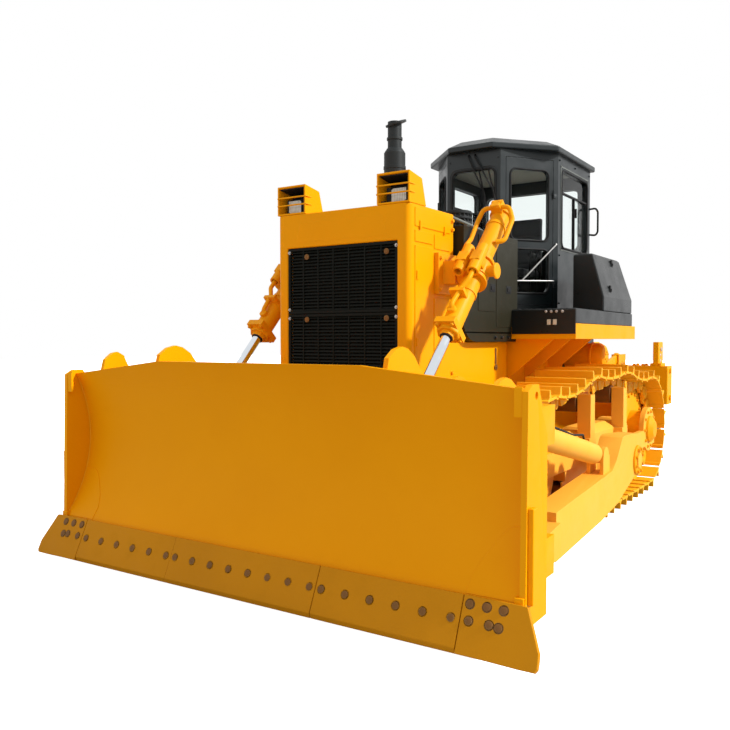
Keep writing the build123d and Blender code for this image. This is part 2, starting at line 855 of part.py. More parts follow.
def build_moldboard():
    inner = blade_half - end_plate
    sheet = curved_plate(0, blade_plate, -inner, inner, blade_mid_top)
    for side in (-1, 1):
        corner = [(side * blade_bend_y, blade_mid_top), (side * (blade_half + 1), blade_mid_top),
                  (side * (blade_half + 1), blade_end_top - 3), (side * inner, blade_end_top)]
        wire = Wire.make_polygon([(blade_top_x - 600, y, z) for y, z in corner], close=True)
        sheet -= extrude(Face(wire), amount=900, dir=(1, 0, 0))
    beam_x = blade_back_x - blade_plate
    ribs = None
    for z in (blade_low_z + 40, 1110):
        rib = block(beam_x - rib_depth * 0.75, beam_x + 40, -inner, inner, z, z + rib_height)
        ribs = rib if ribs is None else ribs + rib
    for y, gap, tops in fins:
        for side in (-1, 1):
            low, high = sorted((side * (y - gap / 2), side * (y + gap / 2)))
            ribs -= block(beam_x - rib_depth, beam_x + 41, low, high, 0, blade_mid_top)
    sheet += ribs - curved_plate(-200, blade_plate / 2, -inner, inner, blade_mid_top)
    lip = [(blade_low_x, blade_low_z), (edge_rear_x(blade_lip_z), blade_lip_z),
           (edge_rear_x(blade_lip_z) - blade_plate, blade_lip_z), (blade_low_x - blade_plate, blade_low_z)]
    sheet += slab(lip, -inner, inner)
    front = curved_plate(-400, blade_plate / 2, -inner, inner, blade_mid_top)
    for y, gap, tops in fins:
        for side in (-1, 1):
            for turn, top in zip((-1, 1), tops):
                mid = side * (y + turn * (gap + fin_plate) / 2)
                sheet += build_fin(mid - fin_plate / 2, mid + fin_plate / 2, top) - front
    sheet += build_gusset() - front
    for side in (-1, 1):
        low, high = sorted((side * inner, side * blade_half))
        cheek = slab(end_plate_outline(), low, high)
        sheet += cheek - cross_bar(lifting_eye_x, lifting_eye_z, lifting_eye_radius, low, high)
    return sheet


def build_fin(y0, y1, top):
    """Upright plate behind the blade, its head rounded where it stands above the blade."""
    head_x = blade_top_x - blade_plate - 20
    outline = [(head_x, blade_end_top - 60), (head_x - 60, top - 70), (head_x - 140, top - 18),
               (head_x - 220, top), (head_x - 290, top - 14), (head_x - 370, top - 60),
               (head_x - 470, top - 170), (fin_rear_x, blade_end_top - 160), (fin_rear_x, blade_low_z + 60),
               (blade_back_x - 20, blade_low_z + 60), (blade_back_x + 40, blade_end_top - 500)]
    return slab(outline, y0, y1)


def build_gusset():
    """Small rounded plate high behind the blade's right half."""
    head_x = blade_top_x - blade_plate - 20
    top = gusset_peak
    outline = [(head_x, blade_end_top - 60), (head_x - 50, top - 60), (head_x - 120, top - 10),
               (head_x - 170, top), (head_x - 230, top - 30), (head_x - 290, top - 140),
               (head_x - 300, blade_end_top - 200), (blade_back_x, blade_end_top - 260)]
    return slab(outline, -gusset_y - fin_plate / 2, fin_plate / 2 - gusset_y)


def edge_rear_x(z):
    """Where the cutting edge's rear face stands at a height."""
    return blade_low_x + (edge_low_x - blade_low_x) * (blade_low_z - z) / (blade_low_z - edge_low_z)


def end_plate_outline():
    return [(blade_top_x, blade_end_top - 4), (blade_top_x - 60, blade_end_top + 30),
            (blade_top_x - 150, blade_end_top + 30), (blade_top_x - end_plate_depth, blade_end_top - 260),
            (blade_top_x - end_plate_depth, blade_lip_z), (edge_rear_x(blade_lip_z), blade_lip_z),
            (blade_low_x, blade_low_z)]


def edge_outline(thickness):
    dx = thickness * math.sin(edge_lean)
    dz = thickness * math.cos(edge_lean)
    return [(blade_low_x, blade_low_z), (edge_low_x, edge_low_z),
            (edge_low_x + dx, edge_low_z + dz), (blade_low_x + dx, blade_low_z + dz)]


def build_cutting_edge():
    return slab(edge_outline(edge_plate), edge_seam - edge_joint_y, edge_joint_y - edge_seam)


def build_end_bits():
    bits = []
    for side in (-1, 1):
        bit = slab(edge_outline(edge_plate), *sorted((side * edge_joint_y, side * end_bit_low_y)))
        corner = [(side * end_bit_top_y, blade_low_z + 40), (side * (end_bit_low_y + 1), blade_low_z + 40),
                  (side * (end_bit_low_y + 1), edge_low_z + 60), (side * end_bit_low_y, edge_low_z + 60)]
        wire = Wire.make_polygon([(blade_low_x - 200, y, z) for y, z in corner], close=True)
        bits.append(bit - extrude(Face(wire), amount=600, dir=(1, 0, 0)))
    return bits


def build_push_arm():
    slope = (trunnion_z - arm_front_mid_z) / (trunnion_x - arm_front_x)

    def level(x):
        return arm_front_mid_z + (x - arm_front_x) * slope

    arm = slab(arm_outline, arm_inner_y, arm_outer_y)
    arm -= cross_bar(trunnion_x, trunnion_z, trunnion_radius + 1, arm_inner_y - 1, arm_outer_y + 1)
    for side in (-1, 1):
        near = brace_y + side * brace_eye_half
        low, high = sorted((near, near + side * clevis_plate))
        arm += block(brace_rear_x - 100, brace_rear_x + 80, low, high, level(brace_rear_x), brace_rear_z)
        arm += cross_bar(brace_rear_x, brace_rear_z, brace_eye_radius + 14, low, high)
    arm += cross_bar(brace_rear_x, brace_rear_z, brace_pin, brace_y - brace_eye_half - 1,
                     brace_y + brace_eye_half + 1)
    half = arm_depth / 2
    tongue = [(x, level(x) + side * half * 0.7)
              for x, side in ((tongue_front_x, -1), (arm_front_x - 1, -1), (arm_front_x - 1, 1),
                              (tongue_front_x, 1))]
    return arm + slab(tongue, brace_y - brace_gap / 2, brace_y + brace_gap / 2)


def build_brace():
    front = (brace_front_x, brace_front_z)
    rear = (brace_rear_x, brace_rear_z)
    span = math.dist(front, rear)
    bar = tube_along(rear, front, 170, span - 130, brace_radius, brace_y)
    bar += tube_along(rear, front, 0, span, brace_neck, brace_y)
    bar += cross_bar(*rear, brace_eye_radius, brace_y - brace_eye_half, brace_y + brace_eye_half)
    bar -= cross_bar(*rear, brace_pin + pin_fit, brace_y - brace_eye_half, brace_y + brace_eye_half)
    return bar + cross_bar(*front, brace_eye_radius + 20, brace_y - brace_gap / 2, brace_y + brace_gap / 2)


# Platform and cab

def box_notch():
    """Room for the engine's side box in the deck's front inner corner."""
    return block(hood_rear_x - run_gap, deck_front_x + 1, deck_inner - 1, side_box_outer_y + run_gap,
                 side_box_z[0] - run_gap, cab_floor)


def build_fender():
    deck = block(deck_rear_x, deck_front_x, deck_inner, deck_half, deck_bottom, deck_bottom + deck_plate)
    deck += block(deck_rear_x + 300, side_sheet_rear_x - run_gap, deck_inner, deck_inner + 40, hull_top,
                  deck_bottom + 1)
    for x in rib_xs:
        outline = [(deck_inner + 39, rib_foot_z), (rib_reach_y, deck_bottom + 1), (deck_inner + 39, deck_bottom + 1)]
        wire = Wire.make_polygon([(x - rib_half, y, z) for y, z in outline], close=True)
        deck += extrude(Face(wire), amount=rib_half * 2, dir=(1, 0, 0))
    return deck - box_notch()


def build_step_box():
    """Black platform on the deck, from its rear to its front edge."""
    return block(step_rear_x, deck_front_x, deck_inner + 80, deck_half, deck_bottom + deck_plate,
                 deck_bottom + deck_plate + step_height) - box_notch()


def build_fender_box():
    """Tall box beside the cab, its outer side sloped inwards near the top."""
    foot = deck_bottom + deck_plate + step_height
    outline = [(box_inner_y, foot), (box_outer_y, foot), (box_outer_y, box_bend_z), (box_top_y, box_top),
               (box_inner_y, box_top)]
    wire = Wire.make_polygon([(box_rear_x, y, z) for y, z in outline], close=True)
    body = extrude(Face(wire), amount=box_front_x - box_rear_x, dir=(1, 0, 0))
    cut = [(box_rear_x - 1, box_bend_z), (box_rear_top_x, box_top + 1), (box_rear_x - 1, box_top + 1)]
    return body - slab(cut, box_inner_y - 1, box_outer_y + 1)


def build_cab_base():
    base_front_x = hood_rear_x - run_gap
    top = block(cab_rear_x, base_front_x, -deck_inner, deck_inner, cab_floor - base_wall, cab_floor)
    walls = block(case_front_x, base_front_x, -deck_inner, deck_inner, hull_top, cab_floor)
    walls -= block(case_front_x - 1, base_front_x + 1, base_wall - deck_inner, deck_inner - base_wall,
                   hull_top - 1, cab_floor - base_wall)
    cowl = slab([(cab_front_x + run_gap, cab_floor - 1), (base_front_x, cab_floor - 1), (base_front_x, cowl_top),
                 (cab_front_x + run_gap, cowl_top + 50)], -cowl_half, cowl_half)
    return top + walls + cowl


def cab_outline(offset):
    return [(cab_front_x + offset, -cab_front_half - offset * 0.3),
            (cab_front_x + offset, cab_front_half + offset * 0.3),
            (cab_corner_x + offset * 0.3, cab_half + offset), (cab_rear_x - offset, cab_half + offset),
            (cab_rear_x - offset, -cab_half - offset), (cab_corner_x + offset * 0.3, -cab_half - offset)]


def oblique():
    """Plane of the left door: local X along the face from the front post, Z out of the cab."""
    start = Vector(cab_front_x, cab_front_half, cab_floor)
    along_face = Vector(cab_corner_x - cab_front_x, cab_half - cab_front_half, 0).normalized()
    out = Vector(-along_face.Y, along_face.X, 0) * -1
    return Plane(origin=start, x_dir=along_face, z_dir=out)


door_face = oblique()
door_width = math.hypot(cab_corner_x - cab_front_x, cab_half - cab_front_half)


def on_face(x0, x1, z0, z1, depth0, depth1):
    """Block on the oblique face: along it, up from the floor, and outwards from it."""
    up = -1 if door_face.y_dir.Z < 0 else 1
    middle = Location(((x0 + x1) / 2, up * (z0 + z1) / 2, (depth0 + depth1) / 2))
    return door_face * (middle * Box(x1 - x0, z1 - z0, depth1 - depth0))


door_pin = door_face.from_local_coords((door_width - door_margin, 0, door_pin_out))


def hinge_knuckles(raised):
    """Knuckle and leaf of each hinge: on the cab's post, or above it on the door."""
    shapes = None
    for z in hinge_zs:
        low = cab_floor + z + raised * (hinge_length + 0.5)
        knuckle = rod((door_pin.X, door_pin.Y, low), (door_pin.X, door_pin.Y, low + hinge_length - 0.5),
                      hinge_radius)
        edge = door_width - door_margin
        leaf = (edge - 60, edge) if raised else (edge, edge + 40)
        knuckle += on_face(*leaf, low - cab_floor, low - cab_floor + hinge_length - 0.5, 0, hinge_leaf)
        shapes = knuckle if shapes is None else shapes + knuckle
    return shapes


def hinge_pins(radius):
    pins = None
    for z in hinge_zs:
        low = cab_floor + z
        pin = rod((door_pin.X, door_pin.Y, low), (door_pin.X, door_pin.Y, low + hinge_length * 2 + 1), radius)
        pins = pin if pins is None else pins + pin
    return pins


def rounded(shape, axis, radius):
    """Cutter with its four long edges rounded."""
    return fillet(shape.edges().filter_by(axis), radius)


# Windows: first and last place along the wall, first and last height
front_window = (-cab_front_half + 62, cab_front_half - 62, cab_floor + cab_height * front_sill_share,
                cab_top - window_head)
rear_window = (-cab_half + 130, cab_half - 130, cab_floor + cab_height * rear_sill_share, cab_top - window_head)
side_window = (cab_rear_x + 110, cab_corner_x - 110, cab_floor + cab_height * side_sill_share,
               cab_top - side_window_head)


def window_block(window, wall, low, high):
    """Block through a window: wall 0 is the front or rear, wall 1 a side."""
    a, b, z0, z1 = window
    if wall == 0:
        return block(low, high, a, b, z0, z1)
    return block(a, b, low, high, z0, z1)


def build_cab_shell():
    shell = plan(cab_outline(0), cab_floor, cab_top) - plan(cab_outline(-cab_wall), cab_floor + 30, cab_top + 1)
    shell -= rounded(window_block(front_window, 0, cab_front_x - 200, cab_front_x + 50), Axis.X, window_round)
    shell -= rounded(window_block(rear_window, 0, cab_rear_x - 50, cab_rear_x + 200), Axis.X, window_round)
    opening = on_face(door_margin, door_width - door_margin, door_sill, cab_height - door_head, -cab_wall * 3, 60)
    shell = shell - opening - right_hand(opening)
    side = rounded(window_block(side_window, 1, cab_half - 200, cab_half + 50), Axis.Y, window_round)
    hinges = hinge_knuckles(0) + hinge_pins(hinge_pin)
    return shell - side - right_hand(side) + hinges + right_hand(hinges)


def roof_outline(inset):
    return [(cab_front_x + roof_front_over - inset, -cab_front_half + 56 + inset * 0.4),
            (cab_front_x + roof_front_over - inset, cab_front_half - 56 - inset * 0.4),
            (cab_corner_x + 116 - inset * 0.6, cab_half + roof_over - inset),
            (cab_rear_x - roof_over + inset, cab_half + roof_over - inset),
            (cab_rear_x - roof_over + inset, -cab_half - roof_over + inset),
            (cab_corner_x + 116 - inset * 0.6, -cab_half - roof_over + inset)]


def build_roof():
    """Roof with a rim and a raised middle that falls off towards the rim."""
    rim = plan(roof_outline(0), cab_top, cab_top + roof_eaves)
    low = Face(Wire.make_polygon([(x, y, cab_top + roof_eaves) for x, y in roof_outline(16)], close=True))
    high = Face(Wire.make_polygon([(x, y, cab_top + roof_height) for x, y in roof_outline(roof_inset)],
                                  close=True))
    return rim + loft([low, high])


def door_panes():
    """The door's windows: along the face, then up from the floor."""
    gap = door_margin + door_gap
    bar_low, bar_high = [cab_height * share for share in door_bar_shares]
    return ((gap + 55, door_width - gap - 55, bar_high, cab_height - window_head),
            (gap + 55, door_width - gap - 55, cab_height * door_sill_share, bar_low))


def build_door():
    gap = door_margin + door_gap
    panel = on_face(gap, door_width - gap, door_sill + door_gap,
                    cab_height - door_head - door_gap, -door_plate, 0)
    for pane in door_panes():
        cutter = on_face(*pane, -door_plate - 1, 1)
        along_normal = [edge for edge in cutter.edges() if abs(edge.length - door_plate - 2) < 0.01]
        panel -= fillet(along_normal, window_round)
    return panel + hinge_knuckles(1) - hinge_pins(hinge_pin + pin_fit)


def build_door_glass():
    mid = door_plate / 2
    panes = []
    for pane in door_panes():
        sheet = on_face(*pane, -mid - glass_plate, -mid)
        corners = [edge for edge in sheet.edges() if abs(edge.length - glass_plate) < 0.01]
        panes.append(fillet(corners, window_round))
    return panes


def build_cab_glass():
    x = cab_front_x - cab_wall / 2
    panes = [rounded(window_block(front_window, 0, x, x + glass_plate), Axis.X, window_round)]
    x = cab_rear_x + cab_wall / 2
    panes.append(rounded(window_block(rear_window, 0, x, x + glass_plate), Axis.X, window_round))
    y = cab_half - cab_wall / 2
    side = rounded(window_block(side_window, 1, y, y + glass_plate), Axis.Y, window_round)
    return panes + [side, right_hand(side)]


def build_seat():
    length, width = seat_size
    base = block(seat_x - 180, seat_x + 180, -180, 180, cab_floor + 30, seat_top - 130)
    cushion = block(seat_x - length / 2, seat_x + length / 2, -width / 2, width / 2,
                    seat_top - 131, seat_top)
    back = block(seat_x - length / 2 - 110, seat_x - length / 2, -width / 2, width / 2,
                 seat_top - 100, seat_top + 620)
    return base + cushion + back


def build_console():
    tower = block(seat_x + 560, seat_x + 780, -250, 250, cab_floor + 30, cab_floor + 620)
    return tower


def build_tank():
    """Tank behind the cab, seated on the rear case and wider above the deck."""
    deck_top = deck_bottom + deck_plate
    front = cab_rear_x - tank_gap
    outline = [(-case_half, case_top), (case_half, case_top), (case_half, deck_top), (tank_half, deck_top),
               (tank_half, tank_top - tank_shoulder), (tank_half - tank_shoulder, tank_top),
               (tank_shoulder - tank_half, tank_top), (-tank_half, tank_top - tank_shoulder),
               (-tank_half, deck_top), (-case_half, deck_top)]
    wire = Wire.make_polygon([(tank_rear_x, y, z) for y, z in outline], close=True)
    body = extrude(Face(wire), amount=front - tank_rear_x, dir=(1, 0, 0))
    slope = [(tank_rear_x - 1, tank_top - 380), (tank_rear_x - 1, tank_top + 1), (tank_rear_x + 240, tank_top + 1)]
    return body - slab(slope, -tank_half - 1, tank_half + 1)


def build_side_box():
    """Black box along the engine, with a bolted lip at its foot."""
    low, high = side_box_z
    box = block(hood_rear_x, side_box_front_x, hood_half, side_box_outer_y, low, high)
    corner = (guard_rear_x - side_sheet_arc, low + side_sheet_arc)
    box -= (block(corner[0], guard_rear_x, hood_half - 1, side_box_outer_y + 1, low - 1, corner[1])
            - cross_bar(*corner, side_sheet_arc - sheet_fit, hood_half - 1, side_box_outer_y + 1))
    return box - block(hood_rear_x - 1, side_box_front_x + 1, side_box_outer_y - side_box_lip,
                       side_box_outer_y + 1, low + 70, low + 84)


# Ripper: parallel arms and links behind the hull

rip_turn = math.radians(rip_rest_deg)
rip_reach = (rip_arm * math.cos(rip_turn), rip_arm * math.sin(rip_turn))
rip_low = (rip_low_x, rip_low_z)
rip_high = (rip_low_x, rip_high_z)
rip_beam_low = (rip_low_x - rip_reach[0], rip_low_z + rip_reach[1])
rip_beam_high = (rip_low_x - rip_reach[0], rip_high_z + rip_reach[1])


def link_bar(start, end, y, half, boss, web):
    bar = cross_bar(*start, boss, y - half, y + half) + cross_bar(*end, boss, y - half, y + half)
    dx = end[0] - start[0]
    dz = end[1] - start[1]
    length = math.hypot(dx, dz)
    nx, nz = -dz / length * web, dx / length * web
    outline = [(start[0] + nx, start[1] + nz), (end[0] + nx, end[1] + nz),
               (end[0] - nx, end[1] - nz), (start[0] - nx, start[1] - nz)]
    bar += slab(outline, y - half, y + half)
    for point in (start, end):
        bar -= cross_bar(*point, rip_pin + 0.1, y - half - 1, y + half + 1)
    return bar


# Ripper forks: distance from the middle, height of the pin at the hull, half width of the eye
rip_forks = ((rip_arm_y, rip_low_z, rip_plate / 2), (rip_link_y, rip_high_z, rip_plate / 2),
             (rip_cyl_y, rip_high_z, rip_cyl_half))


def fork_cheeks(y, half, x0, x1, z0, z1):
    cheeks = []
    for side in (-1, 1):
        for turn in (-1, 1):
            near = side * y + turn * (half + rip_cheek_gap)
            low, high = sorted((near, near + turn * rip_cheek))
            cheeks.append(block(x0, x1, low, high, z0, z1))
    return cheeks


def fork_pins(y, half, point):
    reach = half + rip_cheek_gap + rip_cheek
    return [cross_bar(*point, rip_pin, side * y - reach, side * y + reach) for side in (-1, 1)]


def build_rip_bracket():
    back = block(rip_low_x + 130, hull_rear_x, -700, 700, 560, 1400)
    for y, z, half in rip_forks:
        back += fork_cheeks(y, half, rip_low_x - 60, rip_low_x + 131, z - 90, z + 90)
        back += fork_pins(y, half, (rip_low_x, z))
    return back


def build_rip_arms():
    return [link_bar(rip_low, rip_beam_low, side * rip_arm_y, rip_plate / 2, rip_boss, 75)
            for side in (-1, 1)]


def build_rip_links():
    return [link_bar(rip_high, rip_beam_high, side * rip_link_y, rip_plate / 2, 80, 55)
            for side in (-1, 1)]


def build_rip_beam():
    front = rip_beam_low[0] - rip_setback
    beam = block(front - rip_beam_depth, front, -rip_beam_half, rip_beam_half,
                 rip_beam_low[1] - rip_beam_drop, rip_beam_low[1] - rip_beam_drop + rip_beam_height)
    top = rip_beam_low[1] - rip_beam_drop + rip_beam_height
    for side in (-1, 1):
        for z in (top - 66, top - 446):
            low, high = sorted((side * (rip_beam_half - 1), side * (rip_beam_half + 24)))
            beam += cross_bar(front - rip_beam_depth * 0.5, z, rip_stud, low, high)
    for y, z, half in rip_forks:
        if y == rip_link_y:
            point = rip_beam_high
            beam += fork_cheeks(y, half, front - 150, point[0] + 60, top - 1, point[1] + 60)
        else:
            point = rip_beam_low
            beam += fork_cheeks(y, half, front - 1, point[0] + 60, point[1] - 50, point[1] + 60)
        if y != rip_cyl_y:
            beam += fork_pins(y, half, point)
    for y in shank_ys:
        beam -= block(front - rip_beam_depth + 20, front - rip_beam_depth + 20 + shank_depth,
                      y - shank_plate / 2, y + shank_plate / 2, 0, 4000)
    return beam


def build_shanks():
    x = rip_beam_low[0] - rip_setback - rip_beam_depth + 20
    shanks = []
    for y in shank_ys:
        outline = [(x, shank_top_z), (x + shank_depth, shank_top_z), (x + shank_depth, 620),
                   (x + shank_depth + 60, 440), (x + shank_depth + 190, shank_tip_z),
                   (x + shank_depth + 60, shank_tip_z + 20), (x + 40, 460), (x, 700)]
        shanks.append(slab(outline, y - shank_plate / 2 + 0.5, y + shank_plate / 2 - 0.5))
    return shanks


def build_rip_barrels():
    barrels = []
    for side in (-1, 1):
        y = side * rip_cyl_y
        body = tube_along(rip_high, rip_beam_low, 110, rip_barrel_front, rip_barrel_radius, y)
        body += tube_along(rip_high, rip_beam_low, 0, 120, rip_rod_radius, y)
        body += cross_bar(*rip_high, 82, y - rip_cyl_half, y + rip_cyl_half)
        body -= cross_bar(*rip_high, rip_pin + 0.1, y - rip_cyl_half - 1, y + rip_cyl_half + 1)
        body -= tube_along(rip_high, rip_beam_low, 130, rip_barrel_front + 1, rip_rod_radius + rod_fit, y)
        barrels.append(body)
    return barrels


def build_rip_rods():
    reach = math.dist(rip_high, rip_beam_low)
    rods = []
    for side in (-1, 1):
        y = side * rip_cyl_y
        bar = tube_along(rip_high, rip_beam_low, reach - rip_rod_back, reach, rip_rod_radius, y)
        rods.append(bar + cross_bar(*rip_beam_low, 62, y - rip_cyl_half, y + rip_cyl_half))
    return rods


def both_hands(*shapes):
    return [*shapes, *[right_hand(shape) for shape in shapes]]


save_pair("track", build_track())
save_pair("track_frame", build_track_frame())
save("sprockets", *both_hands(build_sprocket()))
save("final_drives", *both_hands(build_final_drive()))
save("idlers", *both_hands(build_idler()))
save("track_rollers", *both_hands(*build_rollers()))
save("carrier_rollers", *both_hands(*build_carriers()))
save("equalizer_bar", build_equalizer())
save("main_frame", build_main_frame())
save("rear_case", build_rear_case())
save("engine_block", build_engine())
save("hood", build_hood())
save("radiator_guard", build_guard())
save("grille", build_grille())
save("radiator_core", build_core())
save("exhaust_stack", build_exhaust())
save("air_precleaner", build_cleaner())
save("lamp_housings", *both_hands(build_lamp_housing()))
save("headlamps", *both_hands(build_lamp()))
save("lift_barrels", *both_hands(build_lift_barrel()))
save("lift_rods", *both_hands(build_lift_rod()))
save("lift_yokes", *both_hands(build_yoke()))
save("moldboard", build_moldboard())
save("cutting_edges", build_cutting_edge(), *build_end_bits())
save("push_arms", *both_hands(build_push_arm()))
save("pitch_brace_right", right_hand(build_brace()))
save("tilt_cylinder_left", build_brace())
save("fenders", *both_hands(build_fender()))
save("step_boxes", *both_hands(build_step_box()))
save("fender_boxes", *both_hands(build_fender_box()))
save("cab_base", build_cab_base())
save("cab_shell", build_cab_shell())
save("cab_roof", build_roof())
save_pair("cab_door", build_door())
save("door_glass_left", *build_door_glass())
save("door_glass_right", *[right_hand(pane) for pane in build_door_glass()])
save("cab_glass", *build_cab_glass())
save("operator_seat", build_seat())
save("dash_console", build_console())
save("fuel_tank", build_tank())
save("side_tanks", *both_hands(build_side_box()))
save("ripper_bracket", build_rip_bracket())
save("ripper_arms", *build_rip_arms())
save("ripper_links", *build_rip_links())
save("ripper_beam", build_rip_beam())
save("ripper_shanks", *build_shanks())
save("ripper_barrels", *build_rip_barrels())
save("ripper_rods", *build_rip_rods())
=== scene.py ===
import json
import math

import bmesh
import bpy
from mathutils import Matrix, Vector


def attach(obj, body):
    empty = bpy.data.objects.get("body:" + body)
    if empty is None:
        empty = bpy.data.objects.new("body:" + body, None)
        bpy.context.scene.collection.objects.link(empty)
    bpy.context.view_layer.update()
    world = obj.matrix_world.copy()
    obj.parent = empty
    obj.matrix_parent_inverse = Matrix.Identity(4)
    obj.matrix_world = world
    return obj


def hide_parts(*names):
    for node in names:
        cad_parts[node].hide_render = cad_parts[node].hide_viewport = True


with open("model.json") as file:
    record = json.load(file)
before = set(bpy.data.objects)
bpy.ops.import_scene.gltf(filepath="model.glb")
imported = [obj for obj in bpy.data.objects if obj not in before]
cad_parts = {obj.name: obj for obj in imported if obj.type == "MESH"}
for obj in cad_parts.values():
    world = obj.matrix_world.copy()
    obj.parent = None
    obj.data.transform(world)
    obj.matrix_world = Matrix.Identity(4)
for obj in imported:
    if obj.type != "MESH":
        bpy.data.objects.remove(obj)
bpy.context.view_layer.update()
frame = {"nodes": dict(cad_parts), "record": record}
print("frame loaded:", len(frame["nodes"]), "nodes")

originX = 1.62905  # the frame's origin ahead of the sprocket axis
forward, leftward, upward = (1, 0, 0), (0, 1, 0), (0, 0, 1)
scene = bpy.context.scene
scene.view_settings.view_transform = "Standard"


def place(x, y, z):
    # metres ahead of the sprocket axis, to the left and up, turned into the frame's own
    return Vector((x - originX, y, z))


def addObject(name, data):
    thing = bpy.data.objects.new(name, data)
    scene.collection.objects.link(thing)
    return thing


# camera, lights and floor

shot = {"spot": (7.672, 3.5027, 1.717), "yaw": 0.5827, "pitch": -0.0323, "roll": -0.0006, "lens": 38.406}
studio = {
    "sky": 0.74, "key": 4.3, "keyAim": (0.22, -0.86, -0.62), "keySize": 0.1,
    "fill": 0.25, "fillAim": (-0.9, 0.25, -0.15), "fillSize": 1.2,
    "floorHalf": 60, "floor": (0.93, 0.93, 0.93), "floorBounce": (0.42, 0.42, 0.42), "floorGlow": 0.95,
}
white = (1, 1, 1, 1)


def addCamera():
    data = bpy.data.cameras.new("shotCamera")
    data.lens = shot["lens"]
    data.sensor_width = 36
    data.clip_end = 200
    yaw, pitch, roll = shot["yaw"], shot["pitch"], shot["roll"]
    look = Vector((-math.cos(yaw) * math.cos(pitch), -math.sin(yaw) * math.cos(pitch), math.sin(pitch)))
    right = look.cross(Vector(upward)).normalized()
    up = right.cross(look)
    across = right * math.cos(roll) + up * math.sin(roll)
    above = up * math.cos(roll) - right * math.sin(roll)
    camera = addObject("shotCamera", data)
    turn = Matrix((across, above, -look)).transposed().to_4x4()
    camera.matrix_world = Matrix.Translation(shot["spot"]) @ turn
    scene.camera = camera


def addNode(tree, kind, feeds=None, **settings):
    # a node with its settings, and its inputs fed by values or by other nodes' outputs
    node = tree.nodes.new(kind)
    for key, value in settings.items():
        setattr(node, key, value)
    for key, value in (feeds or {}).items():
        if isinstance(value, bpy.types.NodeSocket):
            tree.links.new(value, node.inputs[key])
        else:
            node.inputs[key].default_value = value
    return node


def feed(tree, kind, feeds=None, **settings):
    # the first output of a new node
    return addNode(tree, kind, feeds, **settings).outputs[0]


def compute(tree, operation, first, second):
    return feed(tree, "ShaderNodeMath", {0: first, 1: second}, operation=operation)


def mixColour(tree, share, first, second):
    mix = addNode(tree, "ShaderNodeMix", {0: share}, data_type="RGBA")
    for socket, value in ((mix.inputs[6], first), (mix.inputs[7], second)):
        if isinstance(value, tuple):
            socket.default_value = (*value, 1)
        else:
            tree.links.new(value, socket)
    return mix.outputs[2]


def addSun(name, strength, aim, size):
    data = bpy.data.lights.new(name, "SUN")
    data.energy = strength
    data.angle = size
    addObject(name, data).rotation_euler = Vector(aim).to_track_quat("-Z", "Y").to_euler()


def addStudio():
    addSun("keySun", studio["key"], studio["keyAim"], studio["keySize"])
    addSun("fillSun", studio["fill"], studio["fillAim"], studio["fillSize"])
    world = bpy.data.worlds.new("studioWorld")
    scene.world = world
    world.use_nodes = True
    tree = world.node_tree
    tree.nodes.clear()
    path = addNode(tree, "ShaderNodeLightPath").outputs
    lit = feed(tree, "ShaderNodeBackground", {"Color": white, "Strength": studio["sky"]})
    seen = feed(tree, "ShaderNodeBackground", {"Color": white})
    direct = compute(tree, "MAXIMUM", path["Is Camera Ray"], path["Is Glossy Ray"])
    direct = compute(tree, "MAXIMUM", direct, path["Is Transmission Ray"])
    mix = feed(tree, "ShaderNodeMixShader", {0: direct, 1: lit, 2: seen})
    addNode(tree, "ShaderNodeOutputWorld", {"Surface": mix})


def addFloor():
    mesh = bpy.data.meshes.new("studioFloor")
    half = studio["floorHalf"]
    corners = [(-half, -half, 0), (half, -half, 0), (half, half, 0), (-half, half, 0)]
    mesh.from_pydata(corners, [], [(0, 1, 2, 3)])
    floor = addObject("studioFloor", mesh)
    material = bpy.data.materials.new("paleFloor")
    material.use_nodes = True
    tree = material.node_tree
    tree.nodes.clear()
    direct = addNode(tree, "ShaderNodeLightPath").outputs["Is Camera Ray"]
    strength = compute(tree, "MULTIPLY", direct, studio["floorGlow"])
    glow = feed(tree, "ShaderNodeEmission", {"Strength": strength})
    tone = mixColour(tree, direct, studio["floorBounce"], studio["floor"])
    matt = feed(tree, "ShaderNodeBsdfDiffuse", {"Color": tone})
    both = feed(tree, "ShaderNodeAddShader", {0: matt, 1: glow})
    addNode(tree, "ShaderNodeOutputMaterial", {"Surface": both})
    mesh.materials.append(material)


# materials

